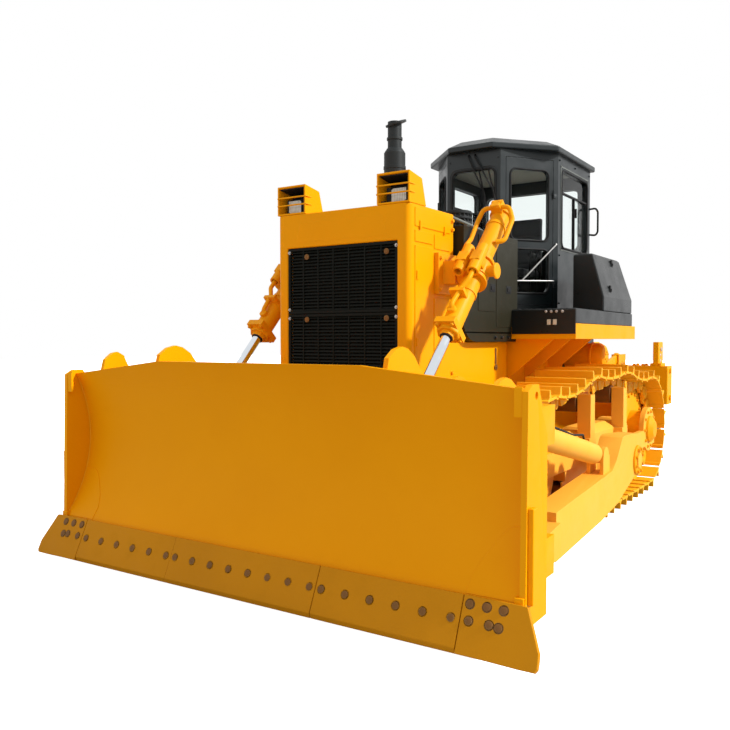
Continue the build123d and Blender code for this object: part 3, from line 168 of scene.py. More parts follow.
finishes = {
    # colour, darker tone, roughness, shine, grain scale, grain height in mm, edge tone (painted highlight,
    # partly wear), edge share
    "yellowPaint": ((0.86, 0.34, 0.001), (0.78, 0.29, 0.001), 0.36, 0.05, 70, 0.5, (0.95, 0.46, 0.02), 0.4),
    "castYellow": ((0.84, 0.345, 0.002), (0.66, 0.25, 0.002), 0.44, 0.1, 160, 1.6, (0.95, 0.5, 0.05), 0.5),
    "trackYellow": ((0.84, 0.4, 0.008), (0.62, 0.27, 0.008), 0.48, 0.12, 120, 1.4, (0.96, 0.62, 0.16), 0.75),
    # paler, less saturated yellow: painted sheen standing for glare on lit sides, with some dust
    "dustAndSheenYellow": ((0.88, 0.425, 0.045), (0.8, 0.35, 0.03), 0.5, 0.12, 130, 0.8, (0.97, 0.6, 0.16), 0.5),
    # dark brown for the rollers: painted shade inside the track, between chain and frame, with some grease
    "shadeAndGreaseBrown": ((0.17, 0.065, 0.012), (0.05, 0.022, 0.008), 0.55, 0.2, 90, 1.6, (0.5, 0.24, 0.05), 0.6),
    # a darker copy of the yellow paint for the cutting edges: painted shade, partly wear
    "edgeYellow": ((0.6, 0.24, 0.003), (0.42, 0.165, 0.004), 0.48, 0.08, 110, 1.2, (0.74, 0.38, 0.04), 0.6),
    "cabBlack": ((0.008, 0.013, 0.014), (0.005, 0.008, 0.009), 0.32, 0.38, 90, 0.5, (0.08, 0.09, 0.1), 0.6),
    "tankBlack": ((0.005, 0.007, 0.007), (0.003, 0.004, 0.004), 0.3, 0.34, 90, 0.6, (0.1, 0.1, 0.1), 0.6),
    "panelOlive": ((0.019, 0.017, 0.008), (0.012, 0.011, 0.006), 0.46, 0.16, 100, 0.7, (0.1, 0.1, 0.07), 0.5),
    "grilleBlack": ((0.006, 0.007, 0.005), (0.003, 0.003, 0.002), 0.5, 0.1, 120, 0.8, (0.03, 0.03, 0.02), 0.5),
    "exhaustBlack": ((0.016, 0.019, 0.019), (0.009, 0.01, 0.01), 0.5, 0.25, 140, 1.2, (0.13, 0.12, 0.1), 0.7),
    "coreGrey": ((0.008, 0.008, 0.006), (0.004, 0.004, 0.003), 0.6, 0.1, 200, 1, (0.02, 0.02, 0.02), 0.4),
    "liningGrey": ((0.5, 0.51, 0.44), (0.38, 0.38, 0.32), 0.7, 0.2, 300, 1, (0.6, 0.6, 0.54), 0.3),
    "seatVinyl": ((0.03, 0.031, 0.034), (0.016, 0.016, 0.018), 0.55, 0.3, 420, 1.2, (0.06, 0.06, 0.065), 0.4),
    "boltSteel": ((0.2, 0.085, 0.018), (0.1, 0.045, 0.012), 0.5, 0.2, 200, 1, (0.44, 0.3, 0.14), 0.6),
    "paleSteel": ((0.45, 0.44, 0.42), (0.3, 0.29, 0.27), 0.4, 0.5, 160, 0.8, (0.7, 0.69, 0.66), 0.5),
    "rubberBlack": ((0.01, 0.01, 0.01), (0.006, 0.006, 0.006), 0.6, 0.25, 260, 0.8, (0.04, 0.04, 0.04), 0.3),
    "hoseGrey": ((0.16, 0.17, 0.15), (0.1, 0.1, 0.09), 0.55, 0.3, 300, 1, (0.25, 0.26, 0.24), 0.3),
}
metals = {"exhaustBlack": 0.1, "boltSteel": 0.1, "paleSteel": 0.7}
materials = {}


def spread(tree, source, low, high, toLow=0.0, toHigh=1.0):
    return feed(tree, "ShaderNodeMapRange", {0: source, 1: low, 2: high, 3: toLow, 4: toHigh})


def noise(tree, coords, scale, detail=4.0, rough=0.55):
    feeds = {"Vector": coords, "Scale": scale, "Detail": detail, "Roughness": rough}
    return addNode(tree, "ShaderNodeTexNoise", feeds).outputs["Fac"]


def startMaterial(name):
    material = bpy.data.materials.new(name)
    material.use_nodes = True
    tree = material.node_tree
    materials[name] = material
    return tree, tree.nodes["Principled BSDF"].inputs, addNode(tree, "ShaderNodeTexCoord").outputs["Object"]


def endMaterial(tree, shader, links, values):
    # the shader's inputs from nodes, and from plain values
    for key, output in links.items():
        tree.links.new(output, shader[key])
    for key, value in values.items():
        shader[key].default_value = value


def makeFinish(name):
    colour, dark, rough, shine, grain, height, edge, edgeShare = finishes[name]
    tree, shader, coords = startMaterial(name)
    broad = noise(tree, coords, 0.9, 5)
    patch = noise(tree, coords, 4.5, 6, 0.65)
    fine = noise(tree, coords, grain, 4)
    body = mixColour(tree, compute(tree, "MULTIPLY", spread(tree, broad, 0.42, 0.72), 0.4), colour, dark)
    body = mixColour(tree, compute(tree, "MULTIPLY", spread(tree, patch, 0.56, 0.8), 0.25), body, dark)
    # a pale line along sharp edges, found from how the bevelled normal departs from the true one: painted
    # highlight where light catches the edge, partly worn paint
    bevel = feed(tree, "ShaderNodeBevel", {"Radius": 0.007}, samples=4)
    true = addNode(tree, "ShaderNodeNewGeometry").outputs["Normal"]
    turn = addNode(tree, "ShaderNodeVectorMath", {0: bevel, 1: true}, operation="DOT_PRODUCT").outputs
    rim = compute(tree, "MULTIPLY", spread(tree, turn["Value"], 0.985, 0.8, 0.0, edgeShare),
                  spread(tree, patch, 0.38, 0.62))
    endMaterial(tree, shader, {
        "Base Color": mixColour(tree, rim, body, edge),
        "Roughness": spread(tree, patch, 0.3, 0.75, rough - 0.05, rough + 0.12),
        "Normal": feed(tree, "ShaderNodeBump", {"Strength": 0.35, "Distance": height / 1000, "Height": fine}),
    }, {"Metallic": metals.get(name, 0), "Specular IOR Level": shine})


def makeSmeared(name, scale, tones, smearRange, roughRange, values):
    # a clean surface whose tone and roughness vary with one noise
    tree, shader, coords = startMaterial(name)
    smear = noise(tree, coords, scale, 5)
    endMaterial(tree, shader, {"Base Color": mixColour(tree, smear, *tones),
                               "Roughness": spread(tree, smear, *smearRange, *roughRange)}, values)


def makeLens():
    tree, shader, coords = startMaterial("lampLens")
    ribs = addNode(tree, "ShaderNodeTexWave", {"Vector": coords, "Scale": 22.0, "Distortion": 0.4},
                   bands_direction="Y").outputs["Fac"]
    endMaterial(tree, shader, {
        "Base Color": mixColour(tree, ribs, (0.5, 0.48, 0.38), (0.74, 0.72, 0.62)),
        "Roughness": spread(tree, ribs, 0.0, 1.0, 0.1, 0.26),
        "Normal": feed(tree, "ShaderNodeBump", {"Strength": 0.4, "Distance": 0.002, "Height": ribs}),
    }, {"Coat Weight": 0.8})


def makeMaterials():
    for name in finishes:
        makeFinish(name)
    makeSmeared("chromeRod", 9, ((0.62, 0.66, 0.7), (0.78, 0.82, 0.86)), (0.3, 0.7), (0.05, 0.14),
                {"Metallic": 1.0})
    makeSmeared("cabGlass", 3, ((0.96, 0.99, 0.98), (0.92, 0.96, 0.95)), (0.4, 0.8), (0.01, 0.05),
                {"Transmission Weight": 1.0, "IOR": 1.1})
    makeLens()


# forms: every number in metres, x ahead of the sprocket axis

def addBox(form, low, high):
    xs, ys, zs = zip(low, high)
    verts = [form.verts.new(place(x, y, z)) for z in zs for y in ys for x in xs]
    for face in ((0, 1, 3, 2), (4, 6, 7, 5), (0, 4, 5, 1), (2, 3, 7, 6), (0, 2, 6, 4), (1, 5, 7, 3)):
        form.faces.new([verts[i] for i in face])


def addBoxes(form, *rows):
    for row in rows:
        addBox(form, row[:3], row[3:])


def joinRings(form, near, far):
    for i in range(len(near)):
        j = (i + 1) % len(near)
        form.faces.new((near[i], near[j], far[j], far[i]))


def addPrism(form, lower, upper):
    # two outlines with as many points each, joined all round
    below = [form.verts.new(place(*point)) for point in lower]
    above = [form.verts.new(place(*point)) for point in upper]
    form.faces.new(below)
    form.faces.new(above)
    joinRings(form, below, above)


def addSlab(form, outline, y0, y1):
    # a plate with an outline in x and z
    addPrism(form, [(x, y0, z) for x, z in outline], [(x, y1, z) for x, z in outline])


def panel(x, y0, y1, z0, z1):
    # four corners of an upright rectangle that faces along x
    return [(x, y0, z0), (x, y1, z0), (x, y1, z1), (x, y0, z1)]


def addTaper(form, x0, y0, y1, z0, z1, x1, inY, inZ):
    # from an upright rectangle to a smaller one, drawn in at each side, further along x
    addPrism(form, panel(x0, y0, y1, z0, z1), panel(x1, y0 + inY, y1 - inY, z0 + inZ, z1 - inZ))


def addTurned(form, foot, aim, profile, sides=24, hollow=False):
    # a turned part: pairs of distance along the axis and radius; hollow closes it as a ring
    start = place(*foot)
    axis = Vector(aim).normalized()
    side = axis.orthogonal().normalized()
    other = axis.cross(side)
    turns = [2 * math.pi * i / sides for i in range(sides)]
    spokes = [side * math.cos(turn) + other * math.sin(turn) for turn in turns]
    rings = [[form.verts.new(start + axis * distance + spoke * radius) for spoke in spokes]
             for distance, radius in profile]
    for near, far in zip(rings, rings[1:]):
        joinRings(form, near, far)
    if hollow:
        joinRings(form, rings[-1], rings[0])
    else:
        form.faces.new(rings[0])
        form.faces.new(rings[-1])


def addRing(form, foot, aim, inner, outer, length, sides):
    # a plain collar with a hole
    addTurned(form, foot, aim, ((0, inner), (0, outer), (length, outer), (length, inner)), sides, hollow=True)


def bothHands(form):
    # the right hand of everything made so far
    copied = bmesh.ops.duplicate(form, geom=form.verts[:] + form.edges[:] + form.faces[:])["geom"]
    for item in copied:
        if isinstance(item, bmesh.types.BMVert):
            item.co.y = -item.co.y


def meshOf(form, name, clean=True):
    if clean:
        bmesh.ops.recalc_face_normals(form, faces=form.faces)
    mesh = bpy.data.meshes.new(name)
    form.to_mesh(mesh)
    form.free()
    return mesh


def smooth(mesh, degrees):
    mesh.shade_smooth()
    mesh.set_sharp_from_angle(angle=math.radians(degrees))


def soften(piece, width, segments, degrees):
    edge = piece.modifiers.new("softEdge", "BEVEL")
    edge.width = width
    edge.segments = segments
    edge.limit_method = "ANGLE"
    edge.angle_limit = math.radians(degrees)
    return edge


def settle(piece, body, stands=()):
    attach(piece, body)
    if stands:
        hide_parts(*stands)


def makePiece(form, name, finish, edge, body="chassis", stands=(), hands=False, clean=True):
    if hands:
        bothHands(form)
    mesh = meshOf(form, name, clean)
    smooth(mesh, 32)
    mesh.materials.append(materials[finish])
    piece = addObject(name, mesh)
    if edge:
        soften(piece, edge, 2, 34).harden_normals = True
    settle(piece, body, stands)


def shape(name, finish, edge, *rows, body="chassis", stands=(), hands=True):
    # a piece out of rows of a form's function and its values, mirrored to the right hand unless told
    form = bmesh.new()
    for add, *values in rows:
        add(form, *values)
    makePiece(form, name, finish, edge, body, stands, hands)


# Geometry Nodes for what repeats or follows a path

def startTree(name, inputs):
    tree = bpy.data.node_groups.new(name, "GeometryNodeTree")
    tree.interface.new_socket("Geometry", in_out="INPUT", socket_type="NodeSocketGeometry")
    tree.interface.new_socket("Geometry", in_out="OUTPUT", socket_type="NodeSocketGeometry")
    for label, kind in inputs.items():
        tree.interface.new_socket(label, in_out="INPUT", socket_type="NodeSocket" + kind)
    return tree, addNode(tree, "NodeGroupInput").outputs


def endTree(tree, geometry, finish):
    real = feed(tree, "GeometryNodeRealizeInstances", {0: geometry})
    painted = feed(tree, "GeometryNodeSetMaterial", {"Geometry": real, "Material": finish})
    addNode(tree, "NodeGroupOutput", {0: painted})
    return tree


def attribute(tree, name, kind="FLOAT_VECTOR"):
    return feed(tree, "GeometryNodeInputNamedAttribute", {"Name": name}, data_type=kind)


def triple(tree, **parts):
    return feed(tree, "ShaderNodeCombineXYZ", parts)


def cone(tree, sides, top, bottom, depth, height=None):
    # a cone or cylinder standing on its foot, lifted by a height where one is given
    body = feed(tree, "GeometryNodeMeshCone", {
        "Vertices": sides, "Radius Top": top, "Radius Bottom": bottom, "Depth": depth})
    if height is None:
        return body
    return feed(tree, "GeometryNodeTransform", {"Geometry": body, "Translation": triple(tree, Z=height)})


def makeBoltTree():
    # washer, head and chamfer at every point, along its own "aim", turned at random about it
    tree, given = startTree("boltHeads", {
        "Head radius": "Float", "Head height": "Float", "Head sides": "Int", "Washer radius": "Float",
        "Washer height": "Float", "Seed": "Int", "Finish": "Material"})
    radius, height, sides = given["Head radius"], given["Head height"], given["Head sides"]
    wide, thin = given["Washer radius"], given["Washer height"]
    parts = addNode(tree, "GeometryNodeJoinGeometry")
    for part in (
            cone(tree, 16, wide, wide, thin), cone(tree, sides, radius, radius, height, thin),
            cone(tree, sides, compute(tree, "MULTIPLY", radius, 0.8), radius,
                 compute(tree, "MULTIPLY", height, 0.25), compute(tree, "ADD", thin, height))):
        tree.links.new(part, parts.inputs[0])
    upright = feed(tree, "FunctionNodeAlignRotationToVector", {"Vector": attribute(tree, "aim")}, axis="Z")
    chance = addNode(tree, "FunctionNodeRandomValue", {"Max": 6.28, "Seed": given["Seed"]}, data_type="FLOAT")
    # the float sockets of Random Value come after its vector ones
    spin = triple(tree, Z=chance.outputs[1])
    turned = feed(tree, "FunctionNodeRotateRotation", {0: upright, 1: spin}, rotation_space="LOCAL")
    copies = feed(tree, "GeometryNodeInstanceOnPoints", {
        "Points": given["Geometry"], "Instance": parts.outputs[0], "Rotation": turned,
        "Scale": attribute(tree, "size", "FLOAT")})
    return endTree(tree, copies, given["Finish"])


def makePipeTree():
    tree, given = startTree("bentPipes", {
        "Radius": "Float", "Bend radius": "Float", "Sides": "Int", "Finish": "Material"})
    line = feed(tree, "GeometryNodeMeshToCurve", {0: given["Geometry"]})
    bent = feed(tree, "GeometryNodeFilletCurve", {
        "Curve": line, "Radius": given["Bend radius"], "Count": 6, "Limit Radius": True}, mode="POLY")
    circle = feed(tree, "GeometryNodeCurvePrimitiveCircle", {
        "Resolution": given["Sides"], "Radius": given["Radius"]})
    tube = feed(tree, "GeometryNodeCurveToMesh", {"Curve": bent, "Profile Curve": circle, "Fill Caps": True})
    return endTree(tree, tube, given["Finish"])


def makeSlatTree():
    # a leaning slat at every point, its length from the point's own "span"
    tree, given = startTree("grilleSlats", {
        "Slat height": "Float", "Slat depth": "Float", "Lean": "Float", "Finish": "Material"})
    size = triple(tree, X=given["Slat depth"], Y=1.0, Z=given["Slat height"])
    slat = feed(tree, "GeometryNodeMeshCube", {"Size": size})
    lean = triple(tree, Y=given["Lean"])
    leaning = feed(tree, "GeometryNodeTransform", {"Geometry": slat, "Rotation": lean})
    copies = feed(tree, "GeometryNodeInstanceOnPoints", {
        "Points": given["Geometry"], "Instance": leaning,
        "Scale": triple(tree, X=1.0, Y=attribute(tree, "span", "FLOAT"), Z=1.0)})
    return endTree(tree, copies, given["Finish"])


def makeChainTree():
    # one shoe with its links at every joint, along the run and square to it
    tree, given = startTree("trackChain", {"Shoe": "Object", "Size": "Float", "Finish": "Material"})
    shoe = addNode(tree, "GeometryNodeObjectInfo", {"Object": given["Shoe"]}, transform_space="ORIGINAL")
    turn = feed(tree, "FunctionNodeAxesToRotation", {
        "Primary Axis": attribute(tree, "along"), "Secondary Axis": attribute(tree, "out")},
        primary_axis="X", secondary_axis="Z")
    copies = feed(tree, "GeometryNodeInstanceOnPoints", {
        "Points": given["Geometry"], "Instance": shoe.outputs["Geometry"], "Rotation": turn,
        "Scale": given["Size"]})
    return endTree(tree, copies, given["Finish"])


trees = {"bolts": makeBoltTree(), "pipes": makePipeTree(), "slats": makeSlatTree(), "chain": makeChainTree()}


def pointMesh(name, spots, edges=(), **values):
    # points with an attribute for each named list
    mesh = bpy.data.meshes.new(name)
    mesh.from_pydata([place(*spot) for spot in spots], edges, [])
    for key, rows in values.items():
        if isinstance(rows[0], (int, float)):
            mesh.attributes.new(key, "FLOAT", "POINT").data.foreach_set("value", rows)
        else:
            flat = [number for row in rows for number in row]
            mesh.attributes.new(key, "FLOAT_VECTOR", "POINT").data.foreach_set("vector", flat)
    return mesh


def evaluated(piece):
    # the piece as its modifiers leave it, which are then taken off
    graph = bpy.context.evaluated_depsgraph_get()
    mesh = bpy.data.meshes.new_from_object(piece.evaluated_get(graph))
    piece.modifiers.clear()
    return mesh


def grow(name, tree, source, finish, inputs, degrees=None, body="chassis", stands=()):
    # the tree's result as a plain mesh of its own
    holder = addObject(name, source)
    rule = holder.modifiers.new("rule", "NODES")
    rule.node_group = trees[tree]
    inputs["Finish"] = materials[finish]
    for item in trees[tree].interface.items_tree:
        if item.item_type == "SOCKET" and item.in_out == "INPUT" and item.name in inputs:
            rule[item.identifier] = inputs[item.name]
    holder.data = evaluated(holder)
    bpy.data.meshes.remove(source)
    if degrees:
        smooth(holder.data, degrees)
    settle(holder, body, stands)


boltSizes = {
    # head radius and height, sides of the head, washer radius and height
    "hex": (0.015, 0.013, 6, 0.021, 0.003), "hexSmall": (0.009, 0.008, 6, 0.013, 0.002),
    "hexLarge": (0.024, 0.02, 6, 0.033, 0.005), "plough": (0.022, 0.004, 20, 0.03, 0.002),
    "tread": (0.011, 0.004, 8, 0.014, 0.001),
}
boltSeed = 3


def addBolts(name, kind, finish, spots, body="chassis", hands=True):
    # spots: place and direction of each head, mirrored to the right hand unless told
    if hands:
        spots = spots + [((x, -y, z), (a, -b, c)) for (x, y, z), (a, b, c) in spots]
    radius, height, sides, washer, thin = boltSizes[kind]
    source = pointMesh(name, [spot[0] for spot in spots], aim=[spot[1] for spot in spots],
                       size=[1.0] * len(spots))
    grow(name, "bolts", source, finish, {
        "Head radius": radius, "Head height": height, "Head sides": sides, "Washer radius": washer,
        "Washer height": thin, "Seed": boltSeed}, 30, body)


def facing(aim, xs, ys, zs):
    # a bolt at every place of the three lists, the last one running fastest
    return [((x, y, z), aim) for x in xs for y in ys for z in zs]


def ringSpots(x, y, z, radius, count, first=0.0):
    # bolts round an axis that points to the left
    turns = [2 * math.pi * (i + first) / count for i in range(count)]
    return [((x + radius * math.cos(turn), y, z + radius * math.sin(turn)), leftward) for turn in turns]


def addPipes(name, runs, radius, bend, finish, sides=14, body="chassis", closed=False, hands=False):
    if hands:
        runs = runs + [[(x, -y, z) for x, y, z in run] for run in runs]
    spots = []
    edges = []
    for run in runs:
        first = len(spots)
        spots += run
        edges += [(first + i, first + i + 1) for i in range(len(run) - 1)]
        if closed:
            edges.append((len(spots) - 1, first))
    grow(name, "pipes", pointMesh(name, spots, edges), finish, {
        "Radius": radius, "Bend radius": bend, "Sides": sides}, 40, body)


# the CAD nodes with softened edges

dressed = {
    # node: finish, edge radius
    "main_frame": ("yellowPaint", 0.006), "rear_case": ("castYellow", 0.02),
    "engine_block": ("castYellow", 0.01), "hood": ("yellowPaint", 0.016),
    "radiator_guard": ("yellowPaint", 0.01), "radiator_core": ("coreGrey", 0.003),
    "exhaust_stack": ("exhaustBlack", 0.006), "air_precleaner": ("exhaustBlack", 0.006),
    "lamp_housings": ("yellowPaint", 0.004), "lift_yokes": ("castYellow", 0.012),
    "equalizer_bar": ("castYellow", 0.01),
    # the track frames take the paler yellow of painted sheen on their lit sides, with some dust
    "track_frame_left": ("dustAndSheenYellow", 0.008), "track_frame_right": ("dustAndSheenYellow", 0.008),
    "sprockets": ("trackYellow", 0.005), "final_drives": ("castYellow", 0.014),
    # the rollers take the dark brown of painted shade inside the track, with some grease
    "idlers": ("trackYellow", 0.006), "track_rollers": ("shadeAndGreaseBrown", 0.004),
    "carrier_rollers": ("shadeAndGreaseBrown", 0.006),
    "fenders": ("yellowPaint", 0.008), "step_boxes": ("tankBlack", 0.008),
    "fender_boxes": ("tankBlack", 0.014),
    "cab_base": ("tankBlack", 0.01), "cab_shell": ("cabBlack", 0.01),
    "cab_roof": ("cabBlack", 0.016), "cab_glass": ("cabGlass", 0.001),
    "dash_console": ("cabBlack", 0.03),
    "fuel_tank": ("tankBlack", 0.02), "side_tanks": ("panelOlive", 0.01),
    "ripper_bracket": ("yellowPaint", 0.006),
    # push arms, brace and tilt cylinder take the paler yellow of painted sheen, with some dust
    "moldboard": ("yellowPaint", 0.005), "push_arms": ("dustAndSheenYellow", 0.01),
    "pitch_brace_right": ("dustAndSheenYellow", 0.008), "tilt_cylinder_left": ("dustAndSheenYellow", 0.008),
    "lift_barrels": ("castYellow", 0.008), "lift_rods": ("chromeRod", 0.004),
    "cab_door_left": ("cabBlack", 0.008), "door_glass_left": ("cabGlass", 0.001),
    "cab_door_right": ("cabBlack", 0.008), "door_glass_right": ("cabGlass", 0.001),
    "ripper_arms": ("yellowPaint", 0.008), "ripper_links": ("yellowPaint", 0.006),
    "ripper_beam": ("yellowPaint", 0.012), "ripper_shanks": ("yellowPaint", 0.01),
    "ripper_barrels": ("castYellow", 0.006), "ripper_rods": ("chromeRod", 0.004),
}
bodies = frame["record"]["behaviour"]["bodies"]
bodyOf = {member: body for body, members in bodies.items() for member in members}

# bars turning on pins: x and z of the holes, whose facets get room to turn
pinHoles = {
    "ripper_arms": ((-0.76, 0.72), (-1.8889, 0.9394)), "ripper_links": ((-0.76, 1.23), (-1.8889, 1.4494)),
}
holeRadius, widerRadius, holeSlack = 0.0421, 0.0436, 0.0006


def widenHoles(form, holes):
    for x, z in holes:
        for vert in form.verts:
            away = Vector((vert.co.x + originX - x, vert.co.z - z))
            if abs(away.length - holeRadius) < holeSlack:
                away = away.normalized() * widerRadius
                vert.co.x = x - originX + away.x
                vert.co.z = z + away.y


def dressNode(node):
    finish, radius = dressed[node]
    form = bmesh.new()
    form.from_mesh(frame["nodes"][node].data)
    bmesh.ops.remove_doubles(form, verts=form.verts, dist=0.00002)
    widenHoles(form, pinHoles.get(node, ()))
    bmesh.ops.dissolve_limit(form, angle_limit=math.radians(0.6), verts=form.verts, edges=form.edges)
    makePiece(form, node + "Skin", finish, radius, bodyOf[node], (node,), clean=False)


# tracks: the chain of shoes over sprocket, idler and carrier rollers

chain = {
    "y": 1.07, "pitch": 0.2286, "count": 43, "linkHalf": 0.062, "plate": 0.02, "grouser": 0.075,
    "sprocket": 0.53, "idler": 0.515, "idlerFirst": 3.19, "carriers": (1.05, 2.15), "carrierRise": 0.124,
    "carrierReach": 0.1573, "sags": (0.07, 0.06, 0.08), "step": 0.006, "tries": 4,
}
lineHeight = chain["linkHalf"] + chain["plate"] + chain["grouser"]
sprocketZ = lineHeight + chain["sprocket"]
idlerZ = lineHeight + chain["idler"]


def chainWheels(idlerX):
    wheels = [(0, sprocketZ, chain["sprocket"]), (idlerX, idlerZ, chain["idler"])]
    reach = chain["carrierReach"]
    high = sprocketZ + chain["sprocket"]
    for x in reversed(chain["carriers"]):
        runZ = high + (idlerZ + chain["idler"] - high) * x / idlerX
        wheels.append((x, runZ + chain["carrierRise"] - reach, reach))
    return wheels


def onWheel(wheel, angle):
    x, z, radius = wheel
    return Vector((x + radius * math.cos(angle), z + radius * math.sin(angle)))


def beltPoints(wheels):
    # close points on the straight runs and arcs round all wheels
    nexts = wheels[1:] + wheels[:1]
    normals = []
    for (ax, az, ar), (bx, bz, br) in zip(wheels, nexts):
        gap = math.hypot(bx - ax, bz - az)
        normals.append(math.atan2(bz - az, bx - ax) - math.acos((ar - br) / gap))
    points = []
    for wheel, following, normal, nextNormal in zip(wheels, nexts, normals, normals[1:] + normals[:1]):
        start, end = onWheel(wheel, normal), onWheel(following, normal)
        steps = max(2, round((end - start).length / chain["step"]))
        points += [start.lerp(end, k / steps) for k in range(steps)]
        turn = (nextNormal - normal) % (2 * math.pi)
        steps = max(2, round(turn * following[2] / chain["step"]))
        points += [onWheel(following, normal + turn * k / steps) for k in range(steps)]
    return points


def sagged(point, wheels, idlerX):
    stops = (0, *chain["carriers"], idlerX)
    for near, far, sag in zip(stops, stops[1:], chain["sags"]):
        if near < point.x < far and point.y > sprocketZ:
            share = (point.x - near) / (far - near)
            low = point.y - sag * 4 * share * (1 - share)
            seats = [z + math.sqrt(r * r - (point.x - x) ** 2) for x, z, r in wheels if abs(point.x - x) < r]
            return Vector((point.x, max([low] + seats)))
    return point


def chainLine(idlerX):
    wheels = chainWheels(idlerX)
    return [sagged(point, wheels, idlerX) for point in beltPoints(wheels)]


def lineLength(points):
    return sum((b - a).length for a, b in zip(points, points[1:] + points[:1]))


def chainJoints():
    # the idler goes where the line is as long as the shoes, which are then set out along it
    idlerX = chain["idlerFirst"]
    pitch, count = chain["pitch"], chain["count"]
    for turn in range(chain["tries"]):
        idlerX += (pitch * count - lineLength(chainLine(idlerX))) / 2
    points = chainLine(idlerX)
    joints = []
    passed = 0
    for here, there in zip(points, points[1:] + points[:1]):
        step = (there - here).length
        while len(joints) < count and passed + step >= pitch * (len(joints) + 0.5):
            joints.append(here.lerp(there, (pitch * (len(joints) + 0.5) - passed) / step))
        passed += step
    return joints, idlerX


shoe = {
    # rails: first and last x, inner and outer y
    "half": 0.279, "rails": ((-0.05, 0.135, 0.046, 0.075), (0.095, 0.278, 0.075, 0.104)), "bush": 0.034,
    "pin": 0.022, "boltX": (0.098, 0.168), "boltY": (0.062, 0.15), "edge": 0.0035,
}


def makeShoe():
    # x along the run from its first joint, z out of the chain; built round the frame's origin
    form = bmesh.new()
    inner = chain["linkHalf"]
    outer = inner + chain["plate"]
    tip = outer + chain["grouser"]
    half, bush, pin = shoe["half"], shoe["bush"], shoe["pin"]
    shift = originX  # cancels the shift of place(), because a shoe is instanced
    plate = ((0.01, inner + 0.004), (0.026, inner), (0.196, inner), (0.212, inner - 0.014),
             (0.25, inner - 0.014), (0.25, inner - 0.004), (0.22, inner - 0.002), (0.2185, inner + 0.006),
             (0.2, outer), (0.097, outer), (0.083, outer + 0.012), (0.072, tip), (0.053, tip),
             (0.047, outer + 0.012), (0.036, outer), (0.016, outer - 0.002))
    addSlab(form, [(x + shift, z) for x, z in plate], -half, half)
    first, last = shoe["rails"][0][2], shoe["rails"][-1][3]
    for side in (-1, 1):
        for x0, x1, low, high in shoe["rails"]:
            rail = [(x0 + 0.012, -0.045), (x0 + 0.034, -inner), (x1 - 0.034, -inner), (x1 - 0.01, -0.045),
                    (x1, 0), (x1 - 0.012, 0.04), (x1 - 0.04, inner - 0.008), (x1 - 0.07, inner + 0.001),
                    (x0 + 0.07, inner + 0.001), (x0 + 0.04, inner - 0.008), (x0 + 0.012, 0.04), (x0, 0)]
            addSlab(form, [(x + shift, z) for x, z in rail], *sorted((side * low, side * high)))
        addTurned(form, (chain["pitch"] + shift, side * last, 0), (0, side, 0),
                  ((-0.002, bush), (0.004, bush), (0.004, pin), (0.009, pin * 0.8)), 14)
        for x in shoe["boltX"]:
            for y in shoe["boltY"]:
                addTurned(form, (x + shift, side * y, outer - 0.001), upward,
                          ((0, 0.022), (0.004, 0.022), (0.004, 0.017), (0.016, 0.017), (0.019, 0.013)), 6)
    addTurned(form, (shift, -first, 0), leftward, ((0, bush), (first * 2, bush)), 14)
    template = addObject("oneShoe", meshOf(form, "oneShoe"))
    soften(template, shoe["edge"], 1, 50)
    return template


def addTracks():
    joints, idlerX = chainJoints()
    template = makeShoe()
    runs = [(there - here).normalized() for here, there in zip(joints, joints[1:] + joints[:1])]
    for side, name in ((1, "left"), (-1, "right")):
        source = pointMesh(name, [(joint.x, side * chain["y"], joint.y) for joint in joints],
                           along=[(run.x, 0, run.y) for run in runs],
                           out=[(run.y, 0, -run.x) for run in runs])
        grow("trackChain" + name.capitalize(), "chain", source, "trackYellow",
             {"Shoe": template, "Size": 1.0}, 35, stands=("track_" + name,))
    bpy.data.objects.remove(template)
    return idlerX


hardware = {
    "rollers": (0.62, 1.012, 1.404, 1.796, 2.188, 2.58), "carrierZ": sprocketZ + 0.565,
    "frameBolts": (0.5, 0.74, 0.89, 1.13, 1.28, 1.52, 1.67, 1.91, 2.06, 2.3, 2.45, 2.69),
    "rollerCap": ((0, 0.062), (0.01, 0.062), (0.014, 0.056), (0.014, 0.03), (0.02, 0.028), (0.02, 0.01)),
    "carrierCap": ((0, 0.04), (0.006, 0.04), (0.01, 0.034), (0.01, 0.016), (0.004, 0.012)),
}


def addTrackHardware(idlerX):
    hub = ringSpots(0, 1.101, sprocketZ, 0.4, 18, 0.5) + ringSpots(0, 1.305, sprocketZ, 0.205, 10)
    addBolts("hubBolts", "hex", "castYellow", hub)
    caps = ringSpots(0, 1.329, sprocketZ, 0.12, 8)
    caps += facing(leftward, (idlerX - 0.06, idlerX + 0.06), (1.254,), (idlerZ - 0.055, idlerZ + 0.055))
    addBolts("capBolts", "hexSmall", "castYellow", caps)
    addBolts("rollerBolts", "hex", "castYellow", facing(leftward, hardware["frameBolts"], (1.22,), (0.33,)))
    # round seals where the rollers' shafts end in the skirt
    shape("rollerCaps", "castYellow", 0.002,
          *[(addTurned, (x, 1.219, 0.326), leftward, hardware["rollerCap"], 28) for x in hardware["rollers"]],
          *[(addTurned, (x, 1.309, hardware["carrierZ"]), leftward, hardware["carrierCap"], 24)
            for x in chain["carriers"]])


# blade

